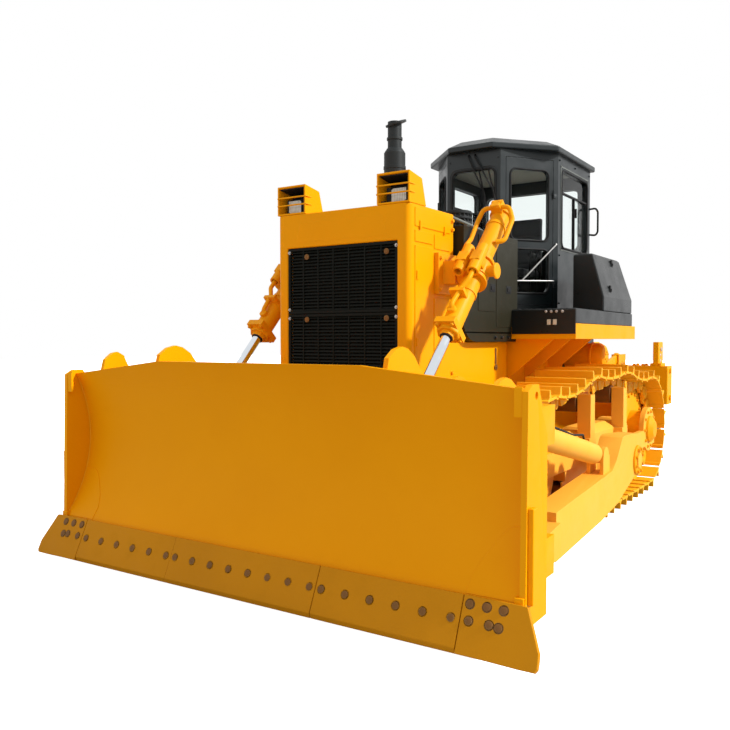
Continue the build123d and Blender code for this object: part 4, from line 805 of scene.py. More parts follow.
blade = {
    # bolts of the edge: y, and how far down its slope; wear plates: y and z round their outline
    "topX": 5.4, "topZ": 1.562, "backX": 5.19, "lowX": 5.424, "lowZ": 0.306, "endTop": 1.446,
    "edgeLowX": 5.555, "edgeLowZ": 0.012, "edgePlate": 0.035, "seams": (0.637, 1.6215), "seamGap": 0.002,
    "edgeBolts": (0.085, 0.254, 0.423, 0.592, 0.683, 0.86, 1.037, 1.214, 1.391, 1.568), "boltDown": 0.14,
    "bitBolts": [(1.667, 0.048), (1.767, 0.048), (1.864, 0.048), (1.675, 0.137), (1.795, 0.137),
                 (1.85, 0.142)],
    "wear": ((1.615, 0.314), (1.622, 0.4), (1.66, 0.48), (1.754, 0.62), (1.8, 0.665), (1.84, 0.674),
             (1.93, 0.674), (1.93, 0.314)), "wearStep": 0.04, "wearRows": 9,
    "endBars": ((5.335, 1.964, 0.3, 5.398, 1.997, 0.82), (5.38, 1.905, 0.3, 5.44, 1.96, 0.345)),
    "endFin": ((5.398, 1.3), (5.398, 1.446), (5.386, 1.47), (5.372, 1.3)), "endFinY": (1.88, 1.932),
    "weldY": 1.926, "weldFoot": 0.33, "weldStep": 0.06, "weldSpots": 19,
}
slopeX, slopeZ = blade["edgeLowX"] - blade["lowX"], blade["edgeLowZ"] - blade["lowZ"]
slopeLength = math.hypot(slopeX, slopeZ)
slopeRun = (slopeX / slopeLength, slopeZ / slopeLength)
slopeOut = (-slopeRun[1], slopeRun[0])


def edgeSpot(down, out, y):
    # a place on the cutting edge: down its slope, out of its front face
    return (blade["lowX"] + slopeRun[0] * down + slopeOut[0] * out, y,
            blade["lowZ"] + slopeRun[1] * down + slopeOut[1] * out)


def faceX(z):
    # the blade's front arc through its three points
    middle = (blade["endTop"] + blade["lowZ"]) / 2
    (ax, az), (bx, bz), (cx, cz) = [(blade["topX"], blade["topZ"]), (blade["backX"], middle),
                                    (blade["lowX"], blade["lowZ"])]
    d = 2 * (ax * (bz - cz) + bx * (cz - az) + cx * (az - bz))
    a, b, c = ax * ax + az * az, bx * bx + bz * bz, cx * cx + cz * cz
    midX = (a * (bz - cz) + b * (cz - az) + c * (az - bz)) / d
    midZ = (a * (cx - bx) + b * (ax - cx) + c * (bx - ax)) / d
    return midX - math.sqrt((ax - midX) ** 2 + (az - midZ) ** 2 - (z - midZ) ** 2)


def addEdges():
    form = bmesh.new()
    thick, gap, low = blade["edgePlate"], blade["seamGap"], slopeLength
    inner, outer = blade["seams"]
    profile = [(0.002, 0.0), (0.002, thick), (low - 0.03, thick), (low - 0.004, 0.012), (low - 0.004, 0.0)]
    for y0, y1 in ((-inner + gap, inner - gap), (inner + gap, outer - gap), (-outer + gap, gap - inner)):
        addPrism(form, [edgeSpot(s, t, y0) for s, t in profile], [edgeSpot(s, t, y1) for s, t in profile])
    # end bits: outline in y and down the slope
    outline = [(outer + gap, 0.002), (1.955, 0.002), (1.992, 0.006), (2.05, 0.14), (2.086, 0.224),
               (2.089, 0.262), (2.089, 0.3), (2.076, low - 0.002), (1.99, low - 0.001), (1.8, low - 0.004),
               (outer + gap, low - 0.004)]
    for side in (-1, 1):
        addPrism(form, *[[edgeSpot(s, out, side * y) for y, s in outline] for out in (0.0, thick)])
    # the cutting edges take the darker yellow: painted shade, partly wear
    makePiece(form, "cuttingEdges", "edgeYellow", 0.005, "blade", ("cutting_edges",))
    aim = (slopeOut[0], 0, slopeOut[1])
    rows = [(y, blade["boltDown"]) for y in blade["edgeBolts"]] + blade["bitBolts"]
    spots = [(edgeSpot(down, thick - 0.002, y), aim) for y, down in rows]
    addBolts("edgeBolts", "plough", "boltSteel", spots, "blade")


def addBladePlates():
    # thin wear plates in the lower corners of the front, bent as the face is
    form = bmesh.new()
    rings = [[form.verts.new((lift, y, z)) for y, z in blade["wear"]] for lift in (-0.004, 0.005)]
    for ring in rings:
        form.faces.new(ring)
    joinRings(form, *rings)
    foot = blade["wear"][0][1]
    for k in range(1, blade["wearRows"]):
        bmesh.ops.bisect_plane(form, geom=form.verts[:] + form.edges[:] + form.faces[:],
                               plane_co=(0, 0, foot + blade["wearStep"] * k), plane_no=upward)
    for vert in form.verts:
        vert.co.x += faceX(vert.co.z) - originX
    makePiece(form, "wearPlates", "yellowPaint", 0.0015, "blade", hands=True)
    shape("endPlateBars", "yellowPaint", 0.006,
          (addBoxes, *blade["endBars"]), (addSlab, blade["endFin"], *blade["endFinY"]), body="blade")
    heights = [blade["weldFoot"] + blade["weldStep"] * k for k in range(blade["weldSpots"])]
    weld = [(faceX(z) + 0.001, blade["weldY"], z) for z in heights]
    addPipes("cornerWelds", [weld], 0.007, 0.03, "castYellow", 8, "blade", hands=True)


arm = {
    # feet of the trunnion's ring and of the collar on the brace's pin; the ring's bolts
    "trunnion": (1.9, 1.649, 0.6), "collar": (2.78, 1.478, 0.745), "bolts": (1.9, 1.669, 0.6, 0.108, 8, 0.5),
    "ring": ((0, 0.076), (0, 0.14), (0.014, 0.14), (0.02, 0.132), (0.02, 0.076)),
    # bends of the steel line clipped along the brace
    "line": ((4.6, 1.56, 1.23), (4.3, 1.585, 1.185), (3.9, 1.575, 1.085), (3.45, 1.56, 0.985),
             (3.15, 1.54, 0.955), (3.05, 1.52, 0.88)),
}


def addArmDetails():
    shape("trunnionRings", "castYellow", 0.003,
          (addTurned, arm["trunnion"], leftward, arm["ring"], 40, True),
          (addRing, arm["collar"], leftward, 0.04, 0.06, 0.02, 28), body="blade")
    addBolts("trunnionBolts", "hex", "castYellow", ringSpots(*arm["bolts"]), "blade")
    addPipes("braceLine", [arm["line"]], 0.009, 0.08, "rubberBlack", body="blade")


# radiator guard, grille and headlamps

grille = {
    "front": 4.338, "half": 0.517, "low": 1.303, "high": 2.452, "rim": 0.02, "split": 1.925, "columns": 7,
    "pitch": 0.0255, "slatHeight": 0.017, "slatDepth": 0.004, "lean": -0.6, "divider": 0.01, "depth": 0.03,
    "bolts": (2.42, 1.96, 1.89, 1.34), "latch": ((0, 0.022), (0.006, 0.022), (0.006, 0.016), (0.01, 0.014)),
}


def addGrille():
    form = bmesh.new()
    front, half, rim, divider = grille["front"], grille["half"], grille["rim"], grille["divider"]
    low, high, split, columns = grille["low"], grille["high"], grille["split"], grille["columns"]
    back, face = front - grille["depth"], front - 0.006
    for z0, z1 in ((low, split - 0.003), (split + 0.003, high)):
        addBoxes(form, (back, -half, z0, face, half, z0 + rim), (back, -half, z1 - rim, face, half, z1),
                 (back, -half, z0 + rim, face, rim - half, z1 - rim),
                 (back, half - rim, z0 + rim, face, half, z1 - rim))
        for i in range(1, columns):
            y = -half + 2 * half * i / columns
            addBoxes(form, (back + 0.004, y - divider / 2, z0 + rim, front - 0.01, y + divider / 2, z1 - rim))
    makePiece(form, "grilleFrames", "grilleBlack", 0.0015, stands=("grille",))
    spots = []
    width = 2 * half / columns
    for z0, z1 in ((low + rim, split - rim), (split + rim, high - rim)):
        rows = int((z1 - z0) / grille["pitch"])
        for row in range(rows):
            z = z0 + (z1 - z0) * (row + 0.5) / rows
            spots += [(back + 0.013, -half + width * (i + 0.5), z) for i in range(columns)]
    source = pointMesh("grilleSlats", spots, span=[width - divider] * len(spots))
    grow("grilleSlats", "slats", source, "grilleBlack", {
        "Slat height": grille["slatHeight"], "Slat depth": grille["slatDepth"], "Lean": grille["lean"]},
        stands=("grille",))
    bolts = [((front - 0.007, y, z), forward) for z in grille["bolts"] for y in (-0.505, 0.505)]
    addBolts("grilleBolts", "hexSmall", "paleSteel", bolts, hands=False)
    shape("grilleLatches", "boltSteel", 0.001,
          *[(addTurned, (front - 0.01, y, z), forward, grille["latch"], 20)
            for y in (-0.33, 0.42) for z in (1.88, 2.38)], hands=False)
    # a mat of fins behind the slats keeps the core dark
    mat = [(4.196, -0.5 + i * 0.04, 1.32, 4.204, -0.5 + i * 0.04 + 0.01, 2.44) for i in range(26)]
    shape("coreFins", "coreGrey", 0.001, (addBoxes, *mat), hands=False)


guard = {
    "side": 0.623,
    # covers: first and last x, first and last z; catches: x and z of their middles
    "covers": ((3.7, 4.262, 2.562, 2.7), (3.99, 4.262, 1.33, 2.42), (3.7, 3.962, 1.33, 2.04),
               (3.7, 3.962, 2.42, 2.53), (3.99, 4.262, 2.448, 2.532)),
    "catches": ((4.19, 2.575), (3.8, 2.575), (4.236, 1.7), (4.236, 2.2), (3.735, 1.7)),
    "seams": (-0.205, 0.205),
    # raised panel: x, half widths of its foot and head, low and high z
    "panel": ((4.339, 0.43, 0.395, 2.497, 2.655), (4.3415, 0.426, 0.392, 2.5, 2.652)),
    "latch": (2.788, 0.622, 1.5, 2.812, 0.632, 1.64), "knobFoot": (2.8, 0.628, 1.47),
    "knob": ((0, 0.026), (0.008, 0.026), (0.008, 0.012), (0.014, 0.01)),
    # bolts: x, y and z on the sides
    "bolts": ([(3.66, 0.622, z) for z in (1.45, 1.75, 2.05, 2.6, 2.67)]
              + [(x, 0.662, z) for x in (3.65, 3.93) for z in (2.108, 2.352)]
              + [(x, 0.622, 1.235) for x in (2.59, 2.76, 2.93, 3.1, 3.27)]),
}


def addGuardDetails():
    side = guard["side"]
    form = bmesh.new()
    for x0, x1, z0, z1 in guard["covers"]:
        addBoxes(form, (x0, side - 0.002, z0, x1, side + 0.006, z1))
    for x, z in guard["catches"]:
        addBoxes(form, (x - 0.012, side + 0.005, z - 0.032, x + 0.012, side + 0.016, z + 0.032))
    bothHands(form)
    # raised panel over the grille, and two seams along the top
    addPrism(form, *[[(x, -foot, low), (x, foot, low), (x, head, high), (x, -head, high)]
                     for x, foot, head, low, high in guard["panel"]])
    for y in guard["seams"]:
        addBoxes(form, (3.7, y - 0.01, 2.726, 4.27, y + 0.01, 2.733))
    makePiece(form, "guardPanels", "yellowPaint", 0.003)
    addBolts("guardBolts", "hex", "castYellow", [(spot, leftward) for spot in guard["bolts"]])
    shape("sheetLatches", "boltSteel", 0.002, (addBoxes, guard["latch"]),
          (addTurned, guard["knobFoot"], leftward, guard["knob"], 20))


lamp = {
    "front": 4.28, "back": 4.166, "y": (0.386, 0.575), "z": (2.743, 2.861), "lens": (0.13, 0.098),
    "offset": 0.012, "rimSide": 0.012, "rimEnd": 0.008, "recess": 0.006, "bulge": 0.006, "steps": 8,
    "bars": (2.806, 2.868),
    # brackets, and the dark lining of the hood round each lamp
    "brackets": ((4.18, 0.35, 2.742, 4.3, 0.386, 2.76), (4.2, 0.56, 2.742, 4.23, 0.6, 2.87)),
    "lining": ((4.325, 2.944), (4.16, 2.918), (4.1, 2.76), (4.108, 2.76), (4.166, 2.91), (4.325, 2.936)),
    "liningY": (0.355, 0.606),
}


def addLamps():
    (y0, y1), (z0, z1), front, recess = lamp["y"], lamp["z"], lamp["front"], lamp["recess"]
    midY, midZ = (y0 + y1) / 2 + lamp["offset"], (z0 + z1) / 2
    wide, tall = lamp["lens"][0] / 2, lamp["lens"][1] / 2
    sideY, endZ = wide + lamp["rimSide"], tall + lamp["rimEnd"]
    rims = [(front - 0.008, midY + a, midZ + b, front, midY + c, midZ + d) for a, b, c, d in (
        (-sideY, -endZ, -wide, endZ), (wide, -endZ, sideY, endZ), (-wide, -endZ, wide, -tall),
        (-wide, tall, wide, endZ))]
    shape("lampBodies", "rubberBlack", 0.004,
          (addTaper, front - recess, y0, y1, z0, z1, lamp["back"], 0.02, 0.012),
          (addBoxes, *rims), stands=("headlamps",))
    form = bmesh.new()
    steps = lamp["steps"]
    shares = [2 * i / steps - 1 for i in range(steps + 1)]
    grid = [[form.verts.new(place(front - recess + lamp["bulge"] * (1 - a * a) * (1 - b * b),
                                  midY + a * wide, midZ + b * tall)) for b in shares] for a in shares]
    for near, far in zip(grid, grid[1:]):
        for k in range(steps):
            form.faces.new((near[k], far[k], far[k + 1], near[k + 1]))
    rim = [row[0] for row in grid] + grid[-1][1:]
    rim += [row[-1] for row in reversed(grid[:-1])] + grid[0][-2:0:-1]
    back = [form.verts.new((front - originX - 2 * recess, vert.co.y, vert.co.z)) for vert in rim]
    joinRings(form, rim, back)
    form.faces.new(back)
    makePiece(form, "lampLenses", "lampLens", 0.0, stands=("headlamps",), hands=True)
    runs = [[(4.262, 0.62, z), (4.338, 0.628, z), (4.338, 0.33, z), (4.262, 0.34, z)] for z in lamp["bars"]]
    addPipes("lampBars", runs, 0.0065, 0.014, "castYellow", 12, hands=True)
    shape("lampLinings", "rubberBlack", 0.003,
          (addBoxes, *lamp["brackets"]), (addSlab, lamp["lining"], *lamp["liningY"]))


hood = {
    "doors": ((2.56, -0.36, 2.699, 2.7, 0.36, 2.706), (3.11, -0.36, 2.699, 3.36, 0.36, 2.706)),
    "doorBolts": ((2.585, 2.675, 3.14, 3.33), (-0.34, 0.34), (2.705,)),
    # exhaust: x and y of its axis, then the z and profile of each turned part
    "stack": (3.52, 0), "seat": (2.699, ((0, 0.15), (0.006, 0.15), (0.01, 0.14), (0.01, 0.1))),
    "seatBolts": (6, 0.126, 2.708), "clamp": (3.61, -0.016, 2.864, 3.634, 0.016, 2.884),
    "bands": (2.86, 3.18), "band": ((0, 0.0935), (0, 0.0965), (0.026, 0.0965), (0.026, 0.0935)),
    "neck": (3.312, ((0, 0.092), (0.018, 0.086), (0.05, 0.064), (0.05, 0.06))),
    "lip": (3.43, ((0, 0.0605), (0, 0.068), (0.022, 0.068), (0.022, 0.0605))),
    # air cleaner: foot of its crown, and the bars of its screen
    "cleaner": (2.9, 0.29, 2.86), "bars": 20, "barRing": 0.128, "barFoot": 2.712,
    "crown": ((0, 0.12), (0.01, 0.128), (0.016, 0.128), (0.019, 0.09), (0.0195, 0.02)),
    "hose": ((3.61, 0.33, 2.69), (3.54, 0.33, 2.76), (3.25, 0.41, 2.775), (2.95, 0.45, 2.735),
             (2.7, 0.44, 2.716), (2.56, 0.4, 2.716), (2.52, 0.33, 2.716)),
}


def onStack(part, sides=36):
    z, profile = hood[part]
    return (addTurned, (*hood["stack"], z), upward, profile, sides)


def addHoodDetails():
    shape("hoodPlates", "yellowPaint", 0.003, (addBoxes, *hood["doors"]), onStack("seat"), hands=False)
    shape("exhaustBands", "exhaustBlack", 0.002,
          *[(addTurned, (*hood["stack"], z), upward, hood["band"], 40) for z in hood["bands"]],
          (addBoxes, hood["clamp"]), onStack("neck"), onStack("lip"), hands=False)
    spots = facing(upward, *hood["doorBolts"])
    count, radius, z = hood["seatBolts"]
    for i in range(count):
        turn = 2 * math.pi * i / count
        spots.append(((hood["stack"][0] + radius * math.cos(turn), radius * math.sin(turn), z), upward))
    addBolts("hoodBolts", "hexSmall", "castYellow", spots, hands=False)
    x, y, z = hood["cleaner"]
    ring, foot = hood["barRing"], hood["barFoot"]
    turns = [2 * math.pi * i / hood["bars"] for i in range(hood["bars"])]
    shape("cleanerCrown", "exhaustBlack", 0.001, (addTurned, (x, y, z), upward, hood["crown"], 40),
          *[(addTurned, (x + ring * math.cos(turn), y + ring * math.sin(turn), foot), upward,
             ((0, 0.006), (0.15, 0.006)), 6) for turn in turns], hands=False)
    addPipes("hoodHose", [hood["hose"]], 0.014, 0.1, "hoseGrey")


sideTank = {
    "doors": ((2.52, 0.699, 1.83, 2.96, 0.705, 2.6), (2.99, 0.699, 1.96, 3.33, 0.705, 2.6)),
    # latches: x and z of their middles, then half width, half height and y range of plate and grip
    "latchX": (2.7, 3.05), "latchZ": 2.165,
    "latch": ((0.055, 0.034, 0.704, 0.709), (0.036, 0.018, 0.708, 0.715)),
    "bolts": ((2.56, 2.7, 2.84, 2.98), (0.6995,), (1.735,)),
}


def addSideTankDetails():
    shape("sideDoors", "panelOlive", 0.004, (addBoxes, *sideTank["doors"]))
    z = sideTank["latchZ"]
    latches = [(x - wide, y0, z - tall, x + wide, y1, z + tall) for x in sideTank["latchX"]
               for wide, tall, y0, y1 in sideTank["latch"]]
    shape("doorLatches", "rubberBlack", 0.003, (addBoxes, *latches))
    addBolts("lipBolts", "hex", "tankBlack", facing(leftward, *sideTank["bolts"]))


# lift cylinders

lift = {"y": 0.898, "pivot": (3.79, 2.241), "eye": (5.0, 0.996)}
liftSpan = math.hypot(lift["eye"][0] - lift["pivot"][0], lift["eye"][1] - lift["pivot"][1])


def liftSpot(distance, rise, across):
    # along the cylinder from its pivot, square to it upwards, and sideways
    (px, pz), (ex, ez) = lift["pivot"], lift["eye"]
    ux, uz = (ex - px) / liftSpan, (ez - pz) / liftSpan
    return (px + ux * distance - uz * rise, lift["y"] + across, pz + uz * distance + ux * rise)


# pipes from the rear port round both sides, and one down the barrel to its front port:
# distance, rise and sideways of each bend
liftRuns = (
    ((-0.66, 0.105, -0.03), (-0.655, 0.11, -0.11), (-0.56, 0.06, -0.15), (-0.36, 0.04, -0.15),
     (-0.2, 0.1, -0.12), (-0.14, 0.128, -0.06)),
    ((-0.66, 0.105, 0.03), (-0.655, 0.11, 0.11), (-0.56, 0.05, 0.15), (-0.33, 0.02, 0.14),
     (-0.3, 0.04, 0.08)),
    ((0.13, 0.128, 0.06), (0.22, 0.128, 0.06), (0.3, 0.112, 0.02), (0.46, 0.112, 0.0),
     (0.5, 0.1, 0.0), (0.5, 0.07, 0.0)),
)


def addLiftDetails():
    start = Vector(liftSpot(0, 0, 0))
    axis = tuple(Vector(liftSpot(1, 0, 0)) - start)
    up = tuple(Vector(liftSpot(0, 1, 0)) - start)
    # bands, gland nut and port bosses
    bands = ((-0.545, 0.03, 0.083), (-0.11, 0.025, 0.118), (0.085, 0.025, 0.118), (0.235, 0.027, 0.083))
    shape("liftCollars", "castYellow", 0.003,
          *[(addRing, liftSpot(near, 0, 0), axis, 0.074, radius, length, 36)
            for near, length, radius in bands],
          (addTurned, liftSpot(0.652, 0, 0), axis,
           ((0, 0.05), (0, 0.088), (0.022, 0.088), (0.03, 0.08), (0.03, 0.06), (0.056, 0.056), (0.056, 0.05)),
           8, True),
          (addTurned, liftSpot(-0.7, 0, 0), axis, ((-0.04, 0.05), (-0.03, 0.088), (-0.028, 0.088)), 32),
          *[(addRing, liftSpot(-0.14, 0.128, across), axis, 0.03, 0.046, 0.28, 24)
            for across in (-0.06, 0.06)],
          (addTurned, liftSpot(0.5, 0.07, 0), up,
           ((0, 0.034), (0.03, 0.034), (0.034, 0.028), (0.034, 0.018)), 20),
          (addTurned, liftSpot(-0.66, 0.125, 0), up,
           ((0, 0.036), (0.02, 0.036), (0.024, 0.03), (0.024, 0.012)), 20),
          body="lift_barrels")
    runs = [[liftSpot(*bend) for bend in run] for run in liftRuns]
    addPipes("liftPipes", runs, 0.019, 0.055, "castYellow", 16, "lift_barrels", hands=True)
    rows = [(0.652, rise, across, axis) for rise in (-0.088, 0.088) for across in (-0.06, 0.06)]
    rows += [(along, 0.132, across, up) for across in (-0.028, 0.028) for along in (-0.69, -0.64)]
    rows += [(0.05, 0.14, across, axis) for across in (-0.056, 0.056)]
    spots = [(liftSpot(*spot), aim) for *spot, aim in rows]
    addBolts("liftBolts", "hex", "castYellow", spots, "lift_barrels")
    shape("rodWipers", "rubberBlack", 0.001,
          (addTurned, liftSpot(0.705, 0, 0), axis,
           ((0, 0.0392), (0, 0.05), (0.012, 0.046), (0.012, 0.0392)), 28, True), body="lift_barrels")
    (px, pz), (ex, ez) = lift["pivot"], lift["eye"]
    eye = ((0, 0.05), (0, 0.07), (0.006, 0.066), (0.006, 0.05))
    shape("eyeRings", "castYellow", 0.001,
          *[(addTurned, (ex, lift["y"] + side * 0.08, ez), (0, side, 0), eye, 32, True) for side in (-1, 1)],
          body="lift_rods")
    # the cross pin's caps and lines on the yokes
    shape("pinCaps", "castYellow", 0.002,
          (addTurned, (px, lift["y"] + 0.16, pz), leftward,
           ((0, 0.047), (0.004, 0.062), (0.016, 0.062), (0.02, 0.056), (0.02, 0.012)), 32),
          body="lift_barrels")
    run = [(3.64, 0.615, 2.33), (3.64, 0.668, 2.33), (3.56, 0.668, 2.42), (3.48, 0.668, 2.56),
           (3.4, 0.64, 2.66)]
    addPipes("guardLines", [run], 0.015, 0.07, "hoseGrey", hands=True)


# platform and boxes beside the cab

platform = {
    "lamps": (1.058, 1.112), "lampHalf": 0.025, "lampLow": 1.842, "lampHigh": 1.906, "rim": 0.005,
    "rimHigh": 0.006, "tread": (0.048, 0.055), "treadZ": 1.993,
    # treads: first place, how many along x and y
    "treads": ((1.83, 1.03, 16, 5), (2.02, 0.745, 12, 4)),
    # plates over the front edge and on the walkway
    "plates": ((2.616, 0.705, 1.768, 2.624, 1.298, 1.984), (1.79, 0.99, 1.989, 2.6, 1.29, 1.994),
               (1.985, 0.7, 1.989, 2.6, 0.96, 1.994)),
    "bolts": ((2.6235,), (1.03, 1.078, 1.126, 1.18), (1.968,)),
    # rounded castings under the deck, beside the hull
    "casting": (0.65, 0.55, 1.53), "castingBolts": (0.65, 0.997, 1.53, 0.05, 6, 0.5),
    "castingProfile": ((0, 0.15), (0.29, 0.15), (0.29, 0.162), (0.315, 0.162), (0.315, 0.15), (0.38, 0.15),
                       (0.43, 0.12), (0.448, 0.08), (0.45, 0.02)),
    "castingFoot": (0.56, 0.84, 1.43, 0.74, 0.96, 1.5),
}


def addPlatformDetails():
    # two small lamps are let into the plate over the front edge
    shape("platformPlates", "tankBlack", 0.003, (addBoxes, *platform["plates"]))
    half, low, high = platform["lampHalf"], platform["lampLow"], platform["lampHigh"]
    inY, inZ = half - platform["rim"], platform["rimHigh"]
    rims = []
    for y in platform["lamps"]:
        for y0, y1, z0, z1 in ((-half, half, low, low + inZ), (-half, half, high - inZ, high),
                               (-half, -inY, low + inZ, high - inZ), (inY, half, low + inZ, high - inZ)):
            rims.append((2.62, y + y0, z0, 2.63, y + y1, z1))
    shape("platformLampRims", "rubberBlack", 0.001, (addBoxes, *rims))
    shape("platformLamps", "lampLens", 0.001,
          *[(addTaper, 2.622, y - 0.021, y + 0.021, 1.847, 1.901, 2.628, 0.004, 0.004)
            for y in platform["lamps"]])
    addBolts("platformBolts", "hexSmall", "paleSteel", facing(forward, *platform["bolts"]))
    # treads on the walkway
    alongX, alongY = platform["tread"]
    spots = []
    for x, y, countX, countY in platform["treads"]:
        xs = [x + i * alongX for i in range(countX)]
        spots += facing(upward, xs, [y + k * alongY for k in range(countY)], (platform["treadZ"],))
    addBolts("walkTreads", "tread", "tankBlack", spots)
    shape("sideCastings", "castYellow", 0.006,
          (addTurned, platform["casting"], leftward, platform["castingProfile"], 40),
          (addBoxes, platform["castingFoot"]))
    addBolts("castingBolts", "hexSmall", "castYellow", ringSpots(*platform["castingBolts"]))


fenderBox = {
    # y and z where its side starts to lean in, and where it ends; x and z of the latches
    "bend": (1.29, 2.132), "top": (1.177, 2.55), "latches": ((1.49, 2.215), (1.19, 2.495)),
    "cover": (0.87, 1.0, 2.549, 1.75, 1.165, 2.555),
}


def slopedY(z):
    # outer side of the box beside the cab
    (y0, z0), (y1, z1) = fenderBox["bend"], fenderBox["top"]
    return y0 if z < z0 else y0 - (z - z0) * (y0 - y1) / (z1 - z0)


def addFenderBoxDetails():
    shape("boxCovers", "tankBlack", 0.003, (addBoxes, fenderBox["cover"]))
    rows = []
    for x, z in fenderBox["latches"]:
        y = slopedY(z)
        rows += [(x - 0.018, y - 0.004, z - 0.04, x + 0.018, y + 0.01, z + 0.04),
                 (x - 0.007, y + 0.008, z - 0.024, x + 0.007, y + 0.02, z + 0.006)]
    shape("boxLatches", "rubberBlack", 0.003, (addBoxes, *rows))


# cab

cab = {"front": 1.96, "frontHalf": 0.3, "corner": 1.4, "half": 0.7, "floor": 2.0}
doorWidth = math.hypot(cab["front"] - cab["corner"], cab["half"] - cab["frontHalf"])
doorAlong = ((cab["corner"] - cab["front"]) / doorWidth, (cab["half"] - cab["frontHalf"]) / doorWidth)
doorOut = (doorAlong[1], -doorAlong[0])
door = {
    # places on the door: along it from the front post, out of the cab, above the floor
    "panes": ((0.121, 0.567, 0.74, 1.45), (0.121, 0.567, 0.2, 0.64)), "seal": 0.006,
    "rails": (((0.1, 0.0, 0.315), (0.1, 0.022, 0.315), (0.63, 0.022, 0.325), (0.63, 0.0, 0.325)),
              ((0.24, 0.02, 0.318), (0.3, 0.024, 0.372), (0.655, 0.024, 0.705), (0.665, 0.0, 0.715))),
    "handle": ((0.078, 0.112, 0.0, 0.012, 0.66, 0.725), (0.084, 0.106, 0.01, 0.04, 0.7, 0.716),
               (0.084, 0.18, 0.032, 0.042, 0.7, 0.716)),
}
windows = (
    # wall, where it stands, first and last place along it, heights
    ("x", 1.96, -0.238, 0.238, 2.47, 3.45), ("x", 0.34, -0.57, 0.57, 2.76, 3.45),
    ("y", 0.7, 0.45, 1.29, 2.69, 3.49), ("y", -0.7, 0.45, 1.29, 2.69, 3.49),
)


def onDoor(along, out, z, side=1):
    # a place on the oblique face of the left side, or of the right one with side -1
    return (cab["front"] + doorAlong[0] * along + doorOut[0] * out,
            side * (cab["frontHalf"] + doorAlong[1] * along + doorOut[1] * out), cab["floor"] + z)


def rectangle(a, b, z0, z1, grow):
    return ((a - grow, z0 - grow), (b + grow, z0 - grow), (b + grow, z1 + grow), (a - grow, z1 + grow))


def windowLoops(grow, lift):
    loops = []
    for wall, at, a, b, z0, z1 in windows:
        corners = rectangle(a, b, z0, z1, grow)
        if wall == "x":
            loops.append([(at + (lift if at > 1 else -lift), side, z) for side, z in corners])
        else:
            loops.append([(side, at + (lift if at > 0 else -lift), z) for side, z in corners])
    return loops


def addDoorDetails(name, side):
    body = "door_" + name
    name = name.capitalize()
    loops = [[onDoor(a, 0.001, z, side) for a, z in rectangle(*pane, door["seal"])] for pane in door["panes"]]
    addPipes("doorSeals" + name, loops, 0.011, 0.068, "rubberBlack", 10, body, closed=True)
    runs = [[onDoor(*spot, side) for spot in rail] for rail in door["rails"]]
    addPipes("doorRail" + name, runs, 0.008, 0.02, "paleSteel", 12, body)
    form = bmesh.new()
    for a0, a1, o0, o1, z0, z1 in door["handle"]:
        corners = ((a0, o0), (a1, o0), (a1, o1), (a0, o1))
        addPrism(form, *[[onDoor(a, o, z, side) for a, o in corners] for z in (z0, z1)])
    makePiece(form, "doorHandle" + name, "rubberBlack", 0.003, body)


fittings = {
    # what is fixed to the cab: bends of its pipes, low and high corners of its boxes
    "handle": ((0.352, 0.69, 3.215), (0.33, 0.77, 3.225), (0.33, 0.79, 3.18), (0.33, 0.79, 2.96),
               (0.33, 0.77, 2.915), (0.352, 0.69, 2.925)),
    "wipers": (((1.962, -0.05, 3.615), (1.992, -0.045, 3.59), (1.986, 0.1, 3.27), (1.972, 0.105, 3.255)),
               ((1.962, 0.02, 3.615), (1.992, 0.025, 3.59), (1.986, 0.205, 3.27), (1.972, 0.21, 3.255))),
    "wiperY": (0.06, 0.165), "ribs": (-0.3, 0.0, 0.3), "aerial": (1.52, 0.3, 3.735),
    "aerialProfile": ((0, 0.03), (0.02, 0.03), (0.034, 0.022), (0.04, 0.008)),
    # lining: first x, pitch and count of its pleats, half width, how it narrows ahead of the corner
    "lining": (0.41, 0.056, 26, 0.63, 0.714), "liningZ": (3.606, 3.588),
    # side windows: the sliding panes, their bars and catch, and x and z of the pale inner frame
    "panes": (0.47, 0.662, 2.71, 0.866, 0.667, 3.25),
    "bars": ((0.455, 0.668, 3.252, 1.285, 0.699, 3.272), (0.862, 0.668, 2.695, 0.88, 0.699, 3.252),
             (0.842, 0.694, 3.05, 0.868, 0.716, 3.15)),
    "frames": ((0.415, 0.427, 2.66, 3.54), (1.313, 1.325, 2.66, 3.54), (0.415, 1.325, 3.52, 3.532),
               (0.415, 1.325, 2.655, 2.667)),
    # work lamps under the roof's rear edge
    "lamps": (-0.45, 0.45),
    # bolts: y and z on the front, x and z on the sides
    "frontBolts": ((-0.27, 0.27), (2.08, 2.42, 3.56)), "sideBolts": ((0.38, 0.87, 1.36), (2.1, 2.6, 3.585)),
}


